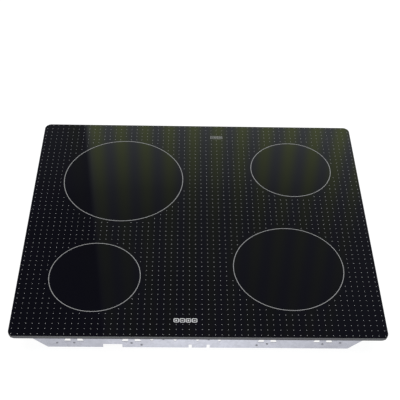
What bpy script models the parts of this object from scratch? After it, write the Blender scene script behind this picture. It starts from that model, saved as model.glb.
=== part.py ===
"""Built-in induction cooktop with four cooking zones, as separate named parts.

The origin is under the middle of the casing, on the surface that the casing stands on. +X is to the
right of the cook, +Y away from the cook and +Z up. Lengths are millimetres up to add_object and
tube, which turn them into the scene's metres.
"""

import math

import bmesh
import bpy
from mathutils import Matrix, Vector

MM = 0.001
GAP = 0.3
SHEET = 0.8
SIDES = {"left": -1, "right": 1}

# The glass plate and what holds it.
GLASS_HALF_X = 290
GLASS_HALF_Y = 255
GLASS_TOP = 51
GLASS_BOTTOM = 47
GLASS_CORNER = 12
EDGE_CHAMFER = 0.4
BEVEL_RUN = 2.5
BEVEL_DROP = 2.8

# The casing: skirt outside, tray inside it.
SKIRT_HALF_X = 276
SKIRT_HALF_Y = 234
SKIRT_TOP = 45.7
SKIRT_CHAMFER_X = 41
SKIRT_CHAMFER_Y = 25
SKIRT_BEND = 4.5
FLANGE_WIDTH = 12
TRAY_HALF_X = 246
TRAY_HALF_Y = 211
TRAY_CORNER = 14
TRAY_BOTTOM = 1.0
TRAY_TOP = 27.0
TRAY_FLOOR = TRAY_BOTTOM + SHEET
STANDING = TRAY_FLOOR + GAP
LIP_TOP = 37.0
CASE_SCREW_Z = 32
CASE_SCREW_HOLE = 1.6
SIDE_SCREW_Y = (-150, 0, 150)
REAR_SCREW_X = (-170, -60, 170)

# The heating zones: centre and radius of each printed ring. Each coil is a little smaller.
ZONES = {
    "rear_left": (-134.0, 101.0, 105.5),
    "rear_right": (168.5, 134.0, 73.0),
    "front_left": (-168.0, -131.5, 73.0),
    "front_right": (146.5, -109.5, 90.5),
}
COIL_INSIDE_RING = 5.5
WINDING_INNER = 26
LEAD_FROM_CENTRE = 18
COIL_SEGMENTS = 30

# Heights of the coil stack, from the floating deck up to the glass.
DECK_Z = (32.8, 34.0)
FERRITE_Z = (34.3, 39.3)
CARRIER_Z = (39.6, 41.6)
WINDING_Z = (41.9, 45.9)
MICA_Z = (46.2, 46.7)
POST_TOP = 27.8
DECK_X = {"left": (-243, -29), "right": (50, 243)}
DECK_HALF_Y = 207
SPRINGS = {
    "rear_left": (-226, 190),
    "front_left": (-42, -190),
    "rear_right": (226, 190),
    "front_right": (64, -190),
}

# Electronics on the tray's floor.
BOARD_Z = (6.0, 7.6)
ON_BOARD = BOARD_Z[1] + GAP
CONNECTOR_TOP = 11.0
POWER_BOARD_Y = (-180, 94)
POWER_BOARD_X = {"left": (-236, -60), "right": (78, 236)}
HEAT_SINK_X = 150
HEAT_SINK_Y = (-110, 65)
FILTER_BOARD = ((-54, 72), (65, 185))
CONTROL_BOARD = ((-24, 44), (-220, -150))
CONTROL_BOARD_Z = (36.0, 37.6)

# The blowers at the back.
FAN_X = 150
FAN_Y = 155
FAN_HOUSING_Z = (STANDING, 24.5)
FAN_WALL = 1.5
FAN_BLADES = 14

# The mains connection at the back: box, block and hinged cover.
BOX_X = (18, 88)
BOX_Y = (196, SKIRT_HALF_Y)
BOX_Z = (STANDING, 25.9)
BOX_WALL = 1.5
BLOCK_X = (26, 80)
BLOCK_Y = (199, 219)
BLOCK_Z = (BOARD_Z[1] + GAP, 19)
WIRE_ENTRIES = 5
COVER_AXIS_Y = 235.4
COVER_AXIS_Z = 3.4

# The worktop clamps, one at each end of each side.
CLAMP_X = 262
CLAMP_Y = 120
CLAMP_Z = (5.8, 7.3)
CLAMP_REACH = 38
LUG_Z = (14.0, 14.8)


def circle(radius, segments, centre=(0, 0)):
    angles = [math.tau * step / segments for step in range(segments)]
    return [(centre[0] + radius * math.cos(a), centre[1] + radius * math.sin(a)) for a in angles]


def arc(centre, radius, start, end, segments):
    """Points along an arc given in degrees, both ends included."""
    angles = [math.radians(start + (end - start) * step / segments) for step in range(segments + 1)]
    return [(centre[0] + radius * math.cos(a), centre[1] + radius * math.sin(a)) for a in angles]


def rectangle(x_range, y_range):
    (x0, x1), (y0, y1) = x_range, y_range
    return [(x0, y0), (x1, y0), (x1, y1), (x0, y1)]


def centred_rectangle(half_x, half_y):
    return rectangle((-half_x, half_x), (-half_y, half_y))


def chamfered_rectangle(half_x, half_y, chamfer_x, chamfer_y):
    flat_x, flat_y = half_x - chamfer_x, half_y - chamfer_y
    right = [(flat_x, -half_y), (half_x, -flat_y), (half_x, flat_y), (flat_x, half_y)]
    return right + [(-x, -y) for x, y in right]


def corner_frames(corners):
    """For each corner: the corner, unit vectors to both neighbours and half the angle between them."""
    for index, corner in enumerate(corners):
        here = Vector(corner)
        back = (Vector(corners[index - 1]) - here).normalized()
        ahead = (Vector(corners[(index + 1) % len(corners)]) - here).normalized()
        yield here, back, ahead, back.angle(ahead) / 2


def inset(corners, distance):
    """A convex outline with every side moved inwards."""
    moved = []
    for here, back, ahead, half in corner_frames(corners):
        moved.append(here + (back + ahead).normalized() * distance / math.sin(half))
    return moved


def filleted(corners, radius, segments=3):
    """A convex outline with each corner rounded by the same number of points."""
    points = []
    for here, back, ahead, half in corner_frames(corners):
        centre = here + (back + ahead).normalized() * radius / math.sin(half)
        reach = radius / math.tan(half)
        start, end = here + back * reach - centre, here + ahead * reach - centre
        first = math.atan2(start.y, start.x)
        turn = (math.atan2(end.y, end.x) - first + math.pi) % math.tau - math.pi
        for step in range(segments + 1):
            angle = first + turn * step / segments
            points.append((centre.x + radius * math.cos(angle), centre.y + radius * math.sin(angle)))
    return points


def at_height(outline, z):
    return [(x, y, z) for x, y in outline]


def skin(bm, loops, ring=False):
    """A closed body through loops of equal length: capped at both ends, or joined into a ring."""
    rows = [[bm.verts.new(point) for point in loop] for loop in loops]
    pairs = list(zip(rows, rows[1:]))
    if ring:
        pairs.append((rows[-1], rows[0]))
    else:
        bm.faces.new(rows[0][::-1])
        bm.faces.new(rows[-1])
    for lower, upper in pairs:
        for index in range(len(lower)):
            after = (index + 1) % len(lower)
            bm.faces.new((lower[index], lower[after], upper[after], upper[index]))


def along(axis, u, v, w):
    """The point at w along the axis, with u and v on the other two axes in order."""
    return {"x": (w, u, v), "y": (u, w, v), "z": (u, v, w)}[axis]


def prism(bm, outline, span, axis="z"):
    """An outline pushed along an axis."""
    skin(bm, [[along(axis, u, v, w) for u, v in outline] for w in span])


def box(bm, x_range, y_range, z_range):
    prism(bm, rectangle(x_range, y_range), z_range)


def box_at(bm, centre, size, z_range):
    (x, y), (size_x, size_y) = centre, size
    box(bm, (x - size_x / 2, x + size_x / 2), (y - size_y / 2, y + size_y / 2), z_range)


def cylinder(bm, centre, radius, z_range, segments=12):
    prism(bm, circle(radius, segments, centre), z_range)


def stepped_rod(bm, centre, steps, axis="z", segments=12):
    """A round body whose (radius, position) steps follow each other along an axis."""
    loops = []
    for radius, w in steps:
        outline = circle(radius, segments, centre)
        loops.append([along(axis, u, v, w) for u, v in outline])
    skin(bm, loops)


def lathe(bm, profile, centre, segments):
    """A closed (radius, z) profile turned about a vertical axis. Radius 0 is a point on the axis."""
    columns = []
    for radius, z in profile:
        if radius == 0:
            columns.append([bm.verts.new((*centre, z))] * segments)
        else:
            ring = at_height(circle(radius, segments, centre), z)
            columns.append([bm.verts.new(point) for point in ring])
    for inner, outer in zip(columns, columns[1:] + columns[:1]):
        for index in range(segments):
            after = (index + 1) % segments
            quad = dict.fromkeys((inner[index], inner[after], outer[after], outer[index]))
            if len(quad) > 2:
                bm.faces.new(tuple(quad))


def material_for(name, colour, roughness, metallic):
    material = bpy.data.materials.new(name)
    material.use_nodes = True
    shader = material.node_tree.nodes["Principled BSDF"]
    shader.inputs["Base Color"].default_value = (*colour, 1)
    shader.inputs["Roughness"].default_value = roughness
    shader.inputs["Metallic"].default_value = metallic
    material.diffuse_color = (*colour, 1)
    return material


# Finishes: colour, roughness and metallic value.
BLACK_GLASS = ((0.008, 0.008, 0.010), 0.06, 0.0)
GALVANISED = ((0.56, 0.57, 0.60), 0.42, 0.9)
ALUMINIUM = ((0.72, 0.73, 0.75), 0.35, 1.0)
SPRING_STEEL = ((0.45, 0.45, 0.47), 0.3, 1.0)
ZINC_STEEL = ((0.62, 0.62, 0.60), 0.35, 1.0)
COPPER = ((0.72, 0.36, 0.18), 0.35, 1.0)
MICA = ((0.62, 0.58, 0.46), 0.5, 0.0)
FERRITE = ((0.05, 0.05, 0.055), 0.5, 0.0)
BLACK_PLASTIC = ((0.02, 0.02, 0.022), 0.5, 0.0)
GREY_PLASTIC = ((0.35, 0.35, 0.36), 0.5, 0.0)
WHITE_PLASTIC = ((0.8, 0.8, 0.78), 0.45, 0.0)
SILICONE = ((0.03, 0.03, 0.03), 0.7, 0.0)
FOAM = ((0.06, 0.06, 0.06), 0.9, 0.0)
BOARD_GREEN = ((0.03, 0.16, 0.07), 0.45, 0.0)


def add_object(name, bm, finish, pivot=(0, 0, 0)):
    """The mesh as a named object whose origin is at the pivot, which is a moving piece's joint."""
    bmesh.ops.recalc_face_normals(bm, faces=bm.faces)
    bm.transform(Matrix.Scale(MM, 4) @ Matrix.Translation(-Vector(pivot)))
    mesh = bpy.data.meshes.new(name)
    bm.to_mesh(mesh)
    bm.free()
    mesh.materials.append(material_for(name, *finish))
    mesh.shade_smooth()
    mesh.set_sharp_from_angle(angle=math.radians(30))
    obj = bpy.data.objects.new(name, mesh)
    obj.location = Vector(pivot) * MM
    bpy.context.scene.collection.objects.link(obj)
    return obj


def combine(obj, bm, operation="DIFFERENCE"):
    """Cuts the mesh from the object, or joins it on, with a Boolean that stays on the object."""
    number = len(obj.modifiers)
    tool = add_object(f"{obj.name}_tool_{number}", bm, GREY_PLASTIC)
    tool.hide_render = True
    tool.display_type = "WIRE"
    modifier = obj.modifiers.new(f"{operation.lower()}_{number}", "BOOLEAN")
    modifier.operation = operation
    modifier.object = tool


def tube(name, route, radius, finish, resolution=2):
    """A round tube along a route, with closed ends."""
    curve = bpy.data.curves.new(name, "CURVE")
    curve.dimensions = "3D"
    curve.bevel_depth = radius * MM
    curve.bevel_resolution = resolution
    curve.use_fill_caps = True
    spline = curve.splines.new("POLY")
    spline.points.add(len(route) - 1)
    for point, place in zip(spline.points, route):
        point.co = (*(Vector(place) * MM), 1)
    curve.materials.append(material_for(name, *finish))
    obj = bpy.data.objects.new(name, curve)
    bpy.context.scene.collection.objects.link(obj)


def smooth_route(points, steps=3):
    """Points read from the smooth curve that passes through the given ones."""
    places = [Vector(point) for point in points]
    places = [places[0] * 2 - places[1], *places, places[-1] * 2 - places[-2]]
    route = []
    for before, start, end, after in zip(places, places[1:], places[2:], places[3:]):
        for step in range(steps):
            t = step / steps
            bend = (before * 2 - start * 5 + end * 4 - after) * t
            twist = (start * 3 - before - end * 3 + after) * t * t
            route.append(start + (end - before + bend + twist) * t / 2)
    return route + [places[-2]]


# --- The glass plate and its seals ---------------------------------------------------------------


def glass_top():
    """Plate with rounded corners. The ground bevel runs out where it meets the front corners."""
    corners = centred_rectangle(GLASS_HALF_X, GLASS_HALF_Y)
    outline = filleted(corners, GLASS_CORNER, 7)
    smaller = filleted(inset(corners, EDGE_CHAMFER), GLASS_CORNER - EDGE_CHAMFER, 7)
    bevel_back = BEVEL_RUN - GLASS_HALF_Y
    slope = BEVEL_DROP / BEVEL_RUN
    rim = [
        (x, y, min(GLASS_TOP - EDGE_CHAMFER, GLASS_TOP - BEVEL_DROP + (y + GLASS_HALF_Y) * slope))
        for x, y in outline
    ]
    top = [(x, max(y, bevel_back), GLASS_TOP) for x, y in smaller]
    bm = bmesh.new()
    skin(bm, [at_height(outline, GLASS_BOTTOM), rim, top])
    add_object("glass_top", bm, BLACK_GLASS)


def rectangular_ring(name, outer, inner, radii, z_range, finish):
    loops = []
    for half, radius, heights in ((outer, radii[0], z_range), (inner, radii[1], z_range[::-1])):
        outline = filleted(centred_rectangle(*half), radius, 4)
        loops += [at_height(outline, z) for z in heights]
    bm = bmesh.new()
    skin(bm, loops, ring=True)
    add_object(name, bm, finish)


def glass_adhesive():
    """Silicone bead on the skirt's flange, which follows the chamfered corners."""
    corners = chamfered_rectangle(SKIRT_HALF_X, SKIRT_HALF_Y, SKIRT_CHAMFER_X, SKIRT_CHAMFER_Y)
    low, high = SKIRT_TOP + GAP, GLASS_BOTTOM - GAP
    outer = filleted(inset(corners, 2), 3)
    inner = filleted(inset(corners, FLANGE_WIDTH - 2), 3)
    bm = bmesh.new()
    loops = [at_height(outer, low), at_height(outer, high), at_height(inner, high), at_height(inner, low)]
    skin(bm, loops, ring=True)
    add_object("glass_adhesive", bm, SILICONE)


def worktop_seal():
    """Foam tape under the glass rim, outside the worktop's cut-out."""
    thickness = 2.5
    top = GLASS_BOTTOM - GAP
    rectangular_ring("worktop_seal", (286, 251), (281, 246), (7, 2), (top - thickness, top), FOAM)


# --- The casing ----------------------------------------------------------------------------------

# Front wall of the skirt: places along X and heights.
SLOT_PAIRS_X = (-193.5, -104.5, 107.0, 194.0)
SLOT_OFFSET = 8.75
SLOT_Z = (14.5, 22.0)
SLOT_HALF = 3.5
SLOT_FLARE = 3.0
SMALL_HOLES = ((-220, 10), (221.5, 14), (-89, 6), (91, 7), (-55, 20.5), (15.6, 20.5))
LIGHT_HOLES = ((-73, 18.5), (-36.5, 18.5), (-1.5, 18.5), (32.5, 18.5))
NOTCHES = ((-149.0, -119.0), (-15.5, -10.5), (12.6, 17.5))
NOTCH_HEIGHT = 7.5
PAIR_HOLE_Z = 10.5
SMALL_HOLE = 1.5
LIGHT_HOLE = 2.5

# Side walls: the stretch along Y that a clamp swings out through.
CLAMP_WINDOW = (78, 132)
CLAMP_WINDOW_TOP = 13.5
LUG_Y = (108, 132)
LUG_INNER_X = 250


def front_wall_openings():
    """Cutters for the front wall: flared slot pairs, round holes and notches in the lower edge."""
    bm = bmesh.new()
    through = (-SKIRT_HALF_Y - 3, -SKIRT_HALF_Y + 3)
    low, high = SLOT_Z
    for centre in SLOT_PAIRS_X:
        for side in (-1, 1):
            x = centre + side * SLOT_OFFSET
            inner, outer = x - side * SLOT_HALF, x + side * SLOT_HALF
            slot = [(inner, high), (inner, low), (outer + side * SLOT_FLARE, low), (outer, high)]
            prism(bm, slot, through, "y")
        prism(bm, circle(SMALL_HOLE, 10, (centre, PAIR_HOLE_Z)), through, "y")
    for place in SMALL_HOLES:
        prism(bm, circle(SMALL_HOLE, 10, place), through, "y")
    for place in LIGHT_HOLES:
        prism(bm, circle(LIGHT_HOLE, 12, place), through, "y")
    for x_range in NOTCHES:
        box(bm, x_range, through, (-2, NOTCH_HEIGHT))
    return bm


def side_and_rear_openings():
    """Cutters for the clamps' windows, the mains cover's window and the screw holes."""
    bm = bmesh.new()
    for side in SIDES.values():
        x_range = sorted((side * (SKIRT_HALF_X - 3), side * (SKIRT_HALF_X + 3)))
        for end in (-1, 1):
            box(bm, x_range, sorted(end * y for y in CLAMP_WINDOW), (-2, CLAMP_WINDOW_TOP))
        for y in SIDE_SCREW_Y:
            prism(bm, circle(CASE_SCREW_HOLE, 10, (y, CASE_SCREW_Z)), x_range, "x")
    through = (SKIRT_HALF_Y - 3, SKIRT_HALF_Y + 3)
    box(bm, (BOX_X[0] - 1, BOX_X[1] + 1), through, (1.5, 26.5))
    for x in REAR_SCREW_X:
        prism(bm, circle(CASE_SCREW_HOLE, 10, (x, CASE_SCREW_Z)), through, "y")
    return bm


def clamp_lugs():
    """Ears inside the skirt's side walls that carry the clamps."""
    bm = bmesh.new()
    for side in SIDES.values():
        for end in (-1, 1):
            inner, outer = side * LUG_INNER_X, side * (SKIRT_HALF_X - SHEET / 2)
            box(bm, sorted((inner, outer)), sorted(end * y for y in LUG_Y), LUG_Z)
    return bm


def weld_nuts():
    """Hexagonal nuts welded on top of the ears."""
    bm = bmesh.new()
    for _, x_sign, y_sign in clamp_places():
        prism(bm, circle(5, 6, (x_sign * CLAMP_X, y_sign * CLAMP_Y)), (LUG_Z[0] + 0.4, LUG_Z[1] + 3.2))
    return bm


def clamp_places():
    for end, y_sign in (("front", -1), ("rear", 1)):
        for side, x_sign in SIDES.items():
            yield f"{end}_{side}", x_sign, y_sign


def frame_skirt():
    """Folded wall with chamfered corners and an inward flange that the glass is glued to."""
    corners = chamfered_rectangle(SKIRT_HALF_X, SKIRT_HALF_Y, SKIRT_CHAMFER_X, SKIRT_CHAMFER_Y)
    outside = filleted(corners, SKIRT_BEND)
    inside = filleted(inset(corners, SHEET), SKIRT_BEND - SHEET)
    flange_edge = filleted(inset(corners, FLANGE_WIDTH), 1)
    under = SKIRT_TOP - SHEET
    loops = [
        at_height(outside, 0),
        at_height(outside, SKIRT_TOP),
        at_height(flange_edge, SKIRT_TOP),
        at_height(flange_edge, under),
        at_height(inside, under),
        at_height(inside, 0),
    ]
    bm = bmesh.new()
    skin(bm, loops, ring=True)
    skirt = add_object("frame_skirt", bm, GALVANISED)
    combine(skirt, clamp_lugs(), "UNION")
    combine(skirt, weld_nuts(), "UNION")
    combine(skirt, front_wall_openings())
    combine(skirt, side_and_rear_openings())
    holes = bmesh.new()
    for _, x_sign, y_sign in clamp_places():
        cylinder(holes, (x_sign * CLAMP_X, y_sign * CLAMP_Y), 2.4, (12, 20))
    combine(skirt, holes)


def slotted_grille(bm, centre, radius, pitch, width, z_range):
    """Parallel slots inside a circle."""
    for step in range(-3, 4):
        half = math.sqrt(radius**2 - (step * pitch) ** 2)
        box_at(bm, (centre[0] + step * pitch, centre[1]), (width, 2 * half), z_range)


LOUVRES = 8
LOUVRE_PITCH = 12
LOUVRES_X = 115
LIP_GAP = 0.4
LIP_HALF_X = 215
LIP_HALF_Y = 195
STAND_RADIUS = 3


def tray_openings():
    """Cutters for the blowers' inlets, the front louvres, the mains connection and the screw holes."""
    bm = bmesh.new()
    for side in SIDES.values():
        slotted_grille(bm, (side * FAN_X, FAN_Y), 32, 9, 4, (0, 3))
        for step in range(LOUVRES):
            x = side * LOUVRES_X + (step - (LOUVRES - 1) / 2) * LOUVRE_PITCH
            box_at(bm, (x, -TRAY_HALF_Y), (4, 8), (6, 20))
    box(bm, (BOX_X[0] - 1.5, BOX_X[1] + 1.5), (205, 215), (TRAY_FLOOR - 0.2, TRAY_TOP - SHEET + 0.2))
    for x_sign in SIDES.values():
        lip = sorted((x_sign * (SKIRT_HALF_X - 6), x_sign * (SKIRT_HALF_X + 2)))
        for y in SIDE_SCREW_Y:
            prism(bm, circle(CASE_SCREW_HOLE, 10, (y, CASE_SCREW_Z)), lip, "x")
    for x in REAR_SCREW_X:
        prism(bm, circle(CASE_SCREW_HOLE, 10, (x, CASE_SCREW_Z)), (SKIRT_HALF_Y - 5, SKIRT_HALF_Y + 2), "y")
    return bm


def tray_lips():
    """Edges turned up from the flange, which the casing's screws bite into."""
    bm = bmesh.new()
    z_range = (TRAY_TOP - SHEET / 2, LIP_TOP)
    outer_x, outer_y = SKIRT_HALF_X - SHEET - LIP_GAP, SKIRT_HALF_Y - SHEET - LIP_GAP
    for side in SIDES.values():
        box(bm, sorted((side * outer_x, side * (outer_x - SHEET))), (-LIP_HALF_Y, LIP_HALF_Y), z_range)
    for x_range in ((-LIP_HALF_X, BOX_X[0] - 3), (BOX_X[1] + 3, LIP_HALF_X)):
        box(bm, x_range, (outer_y - SHEET, outer_y), z_range)
    return bm


def board_corners(x_range, y_range, margin=6):
    (x0, x1), (y0, y1) = x_range, y_range
    return [(x, y) for x in (x0 + margin, x1 - margin) for y in (y0 + margin, y1 - margin)]


def tray_stands():
    """Pins riveted into the floor: guides for the decks' springs and stands for the boards."""
    bm = bmesh.new()
    root = TRAY_BOTTOM + SHEET / 2
    for place in SPRINGS.values():
        cylinder(bm, place, STAND_RADIUS, (root, POST_TOP))
    areas = [(x_range, POWER_BOARD_Y) for x_range in POWER_BOARD_X.values()] + [FILTER_BOARD]
    for area in areas:
        for place in board_corners(*area):
            cylinder(bm, place, STAND_RADIUS, (root, BOARD_Z[0] - GAP), 8)
    for x, y in board_corners(*CONTROL_BOARD):
        foot = root if y > -TRAY_HALF_Y + SHEET else TRAY_TOP - SHEET / 2
        cylinder(bm, (x, y), STAND_RADIUS, (foot, CONTROL_BOARD_Z[0] - GAP), 8)
    return bm


def base_tray():
    """Pressed pan with a flange that reaches the skirt's inside."""
    wall = chamfered_rectangle(TRAY_HALF_X, TRAY_HALF_Y, TRAY_CORNER, TRAY_CORNER)
    rim = chamfered_rectangle(SKIRT_HALF_X, SKIRT_HALF_Y, SKIRT_CHAMFER_X, SKIRT_CHAMFER_Y)
    outside = filleted(wall, 6)
    inside = filleted(inset(wall, SHEET), 6 - SHEET)
    edge = filleted(inset(rim, SHEET + GAP), 3.4)
    under = TRAY_TOP - SHEET
    loops = [
        at_height(outside, TRAY_BOTTOM),
        at_height(outside, under),
        at_height(edge, under),
        at_height(edge, TRAY_TOP),
        at_height(inside, TRAY_TOP),
        at_height(inside, TRAY_FLOOR),
    ]
    bm = bmesh.new()
    skin(bm, loops)
    tray = add_object("base_tray", bm, GALVANISED)
    combine(tray, tray_lips(), "UNION")
    combine(tray, tray_stands(), "UNION")
    combine(tray, tray_openings())


# --- Coils ---------------------------------------------------------------------------------------


def coil_radius(zone):
    return ZONES[zone][2] - COIL_INSIDE_RING


def zones_on(side):
    return [name for name in ZONES if name.endswith(side)]


def lead_start(zone):
    """Where a coil's twin lead comes down through the deck."""
    x, y, _ = ZONES[zone]
    return x, y - LEAD_FROM_CENTRE


def coil_decks():
    for side, x_range in DECK_X.items():
        bm = bmesh.new()
        box(bm, x_range, (-DECK_HALF_Y, DECK_HALF_Y), DECK_Z)
        deck = add_object(f"coil_deck_{side}", bm, ALUMINIUM, (0, 0, DECK_Z[0]))
        holes = bmesh.new()
        for zone in zones_on(side):
            cylinder(holes, lead_start(zone), 9, (DECK_Z[0] - 2, DECK_Z[1] + 2), 16)
        combine(deck, holes)


def deck_springs():
    """Compression springs between the tray and the decks, each around a guide pin."""
    turns, points_per_turn, mean_radius, wire = 3, 9, 5.0, 0.7
    low, high = STANDING + wire, DECK_Z[0] - GAP - wire
    for name, (x, y) in SPRINGS.items():
        route = []
        for step in range(turns * points_per_turn + 1):
            angle = math.tau * step / points_per_turn
            height = low + (high - low) * step / (turns * points_per_turn)
            route.append((x + mean_radius * math.cos(angle), y + mean_radius * math.sin(angle), height))
        tube(f"deck_spring_{name}", route, wire, SPRING_STEEL, resolution=1)


def turned(name, profile, zone, finish):
    """A turned piece of one zone's coil stack."""
    x, y, _ = ZONES[zone]
    bm = bmesh.new()
    lathe(bm, profile, (x, y), COIL_SEGMENTS)
    add_object(f"{name}_{zone}", bm, finish, (x, y, DECK_Z[0]))


def washer_profile(inner, outer, z_range):
    low, high = z_range
    return [(inner, low), (outer, low), (outer, high), (inner, high)]


def coil_stack(zone):
    """Carrier, wound coil and mica sheet of one zone."""
    radius = coil_radius(zone)
    low, high = CARRIER_Z
    outer_wall, inner_wall = high + 2.4, high + 3.9
    carrier = [
        (12, low),
        (radius + 4, low),
        (radius + 4, outer_wall),
        (radius + 2, outer_wall),
        (radius + 2, high),
        (14, high),
        (14, inner_wall),
        (12, inner_wall),
    ]
    turned("coil_carrier", carrier, zone, GREY_PLASTIC)
    turned("coil_winding", washer_profile(WINDING_INNER, radius, WINDING_Z), zone, COPPER)
    turned("mica_sheet", washer_profile(8, radius + 1, MICA_Z), zone, MICA)


def ferrite_star(zone):
    """Eight bars that carry the coil's field, joined around a hub ring."""
    x, y, _ = ZONES[zone]
    half_width, count, hub_outer, hub_inner = 6, 8, 28, 22
    tip = coil_radius(zone) - 4
    outer, inner = [], []
    for index in range(count):
        turn = Matrix.Rotation(math.tau * (index + 0.5) / count, 2)
        ends = ((hub_outer, -half_width), (tip, -half_width), (tip, half_width), (hub_outer, half_width))
        for corner in ends:
            point = turn @ Vector(corner)
            outer.append(point + Vector((x, y)))
            inner.append(point.normalized() * hub_inner + Vector((x, y)))
    low, high = FERRITE_Z
    bm = bmesh.new()
    levels = ((outer, low), (outer, high), (inner, high), (inner, low))
    skin(bm, [at_height(outline, z) for outline, z in levels], True)
    add_object(f"ferrite_star_{zone}", bm, FERRITE, (x, y, DECK_Z[0]))


def temperature_sensor(zone):
    """Holder that presses a sensor against the glass in the middle of a coil."""
    x, y, _ = ZONES[zone]
    low, high = DECK_Z[1] + GAP, MICA_Z[1]
    collar_low, collar_high = 37.5, CARRIER_Z[0] - GAP
    body, collar = 6, 10
    profile = [
        (0, low),
        (body, low),
        (body, collar_low),
        (collar, collar_low),
        (collar, collar_high),
        (body, collar_high),
        (body, high),
        (0, high),
    ]
    bm = bmesh.new()
    lathe(bm, profile, (x, y), 14)
    add_object(f"temperature_sensor_{zone}", bm, WHITE_PLASTIC, (x, y, DECK_Z[0]))


# Where each coil's leads end on its power board, as a shift along Y from where they start.
LEAD_RADIUS = 1.8
LEAD_SHIFT_Y = {"rear_left": 0, "rear_right": -28, "front_left": 0, "front_right": -12}


def coil_leads():
    """A twin lead from each coil to its power board. The rear right one passes over a blower."""
    top, bottom = CARRIER_Z[0] - GAP, CONNECTOR_TOP + GAP
    for zone, shift in LEAD_SHIFT_Y.items():
        x, y = lead_start(zone)
        bends = [(x, y, 33), (x + 1, y + shift * 0.3, 27), (x - 1, y + shift * 0.8, 18)]
        if zone == "rear_right":
            bends = [(x, y, 34), (x, y - 3, 29), (x, y - 10, 27.8), (x, y - 20, 27.2), (x, y - 26, 23)]
        route = [(x, y, top), *bends, (x, y + shift, 14), (x, y + shift, bottom)]
        tube(f"coil_lead_{zone}", smooth_route(route, 2), LEAD_RADIUS, WHITE_PLASTIC)


# --- Electronics ---------------------------------------------------------------------------------


SOLDERED = BOARD_Z[1] - 0.5


def populated_board(name, outline, z_range, components):
    """A circuit board with its soldered components joined on."""
    bm = bmesh.new()
    prism(bm, outline, z_range)
    board = add_object(name, bm, BOARD_GREEN)
    combine(board, components, "UNION")


def choke(bm, centre):
    """A wound toroid lying on a board."""
    inner, outer, high, round_off = 7, 16, 22, 3
    profile = [
        (inner, SOLDERED),
        (outer, SOLDERED),
        (outer, high - round_off),
        (outer - round_off, high),
        (inner + round_off, high),
        (inner, high - round_off),
    ]
    lathe(bm, profile, centre, 16)


def power_boards():
    """Transistors under the heat sink, three capacitors, a choke and a connector for each coil lead."""
    for side, sign in SIDES.items():
        parts = bmesh.new()
        for y in (-80, -20, 40):
            box_at(parts, (sign * HEAT_SINK_X, y), (16, 20), (SOLDERED, ON_BOARD + 4))
        for y in (-60, -20, 20):
            box_at(parts, (sign * 205, y), (20, 32), (SOLDERED, 26))
        choke(parts, (sign * 96, -40))
        cylinder(parts, (sign * 96, 20), 11, (SOLDERED, 26), 16)
        for zone in zones_on(side):
            x, y = lead_start(zone)
            box_at(parts, (x, y + LEAD_SHIFT_Y[zone]), (20, 8), (SOLDERED, CONNECTOR_TOP))
        outline = rectangle(POWER_BOARD_X[side], POWER_BOARD_Y)
        populated_board(f"power_board_{side}", outline, BOARD_Z, parts)


def filter_board():
    """Mains filter. Its tongue reaches into the terminal box and carries the terminal block."""
    (x0, x1), (y0, y1) = FILTER_BOARD
    parts = bmesh.new()
    for y in (100, 145):
        box_at(parts, (x0 + 18, y), (14, 32), (SOLDERED, 24))
    choke(parts, (4, 108))
    choke(parts, (4, 150))
    for y in (95, 130):
        box_at(parts, (x1 - 20, y), (16, 28), (SOLDERED, 23))
    tongue_left, tongue_right = BLOCK_X
    tongue = [(tongue_right, 155), (tongue_right, BLOCK_Y[1]), (tongue_left, BLOCK_Y[1]), (tongue_left, y1)]
    outline = [(x0, y0), (x1, y0), (x1, 155), *tongue, (x0, y1)]
    populated_board("filter_board", outline, BOARD_Z, parts)


def control_board():
    """Board that reads the control panel, with one indicator light under the glass for each zone."""
    (x0, x1), y_range = CONTROL_BOARD
    solder = CONTROL_BOARD_Z[1] - 0.5
    parts = bmesh.new()
    for index in range(len(ZONES)):
        profile = [(0, solder), (2.5, solder), (2.5, 45), (1.5, 46), (0, 46)]
        lathe(parts, profile, (x0 + 10 + 16 * index, y_range[0] + 7), 12)
    box_at(parts, ((x0 + x1) / 2, -180), (24, 24), (solder, CONTROL_BOARD_Z[1] + 2.5))
    populated_board("control_board", rectangle(*CONTROL_BOARD), CONTROL_BOARD_Z, parts)


def heat_sinks():
    """Extruded comb of nine fins over each row of power transistors."""
    half_width, fins, fin, base = 25, 9, 1.5, 3
    low, high = ON_BOARD + 4.5, 27
    pitch = (2 * half_width - fin) / (fins - 1)
    for side, sign in SIDES.items():
        left = sign * HEAT_SINK_X - half_width
        comb = [(left, low), (left + 2 * half_width, low)]
        for index in reversed(range(fins)):
            x = left + index * pitch
            comb += [(x + fin, low + base), (x + fin, high), (x, high), (x, low + base)]
        bm = bmesh.new()
        prism(bm, comb, HEAT_SINK_Y, "y")
        add_object(f"heat_sink_{side}", bm, ALUMINIUM)


RIBBON_X = (-5, 15)


def signal_ribbon():
    """Flat cable from under the control board, along the tray's floor, to the filter board's edge."""
    thickness = 1.0
    route = [(-160, 35.2), (-150, 33), (-132, 20), (-118, 9), (-100, 3.2)]
    route += [(-40, 3), (40, 3), (58, 4.4), (64.4, 6.6)]
    upper = []
    lower = []
    for index, (y, z) in enumerate(route):
        (y0, z0), (y1, z1) = route[max(index - 1, 0)], route[min(index + 1, len(route) - 1)]
        length = math.hypot(y1 - y0, z1 - z0)
        across_y, across_z = -(z1 - z0) / length * thickness / 2, (y1 - y0) / length * thickness / 2
        upper.append((y + across_y, z + across_z))
        lower.append((y - across_y, z - across_z))
    bm = bmesh.new()
    prism(bm, lower + upper[::-1], RIBBON_X, "x")
    add_object("signal_ribbon", bm, GREY_PLASTIC)


# --- Blowers -------------------------------------------------------------------------------------


FAN_RADIUS = 46
FAN_FRONT = -50
FAN_OUTLET_RIGHT = 24
FAN_SHOULDER = -20


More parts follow.
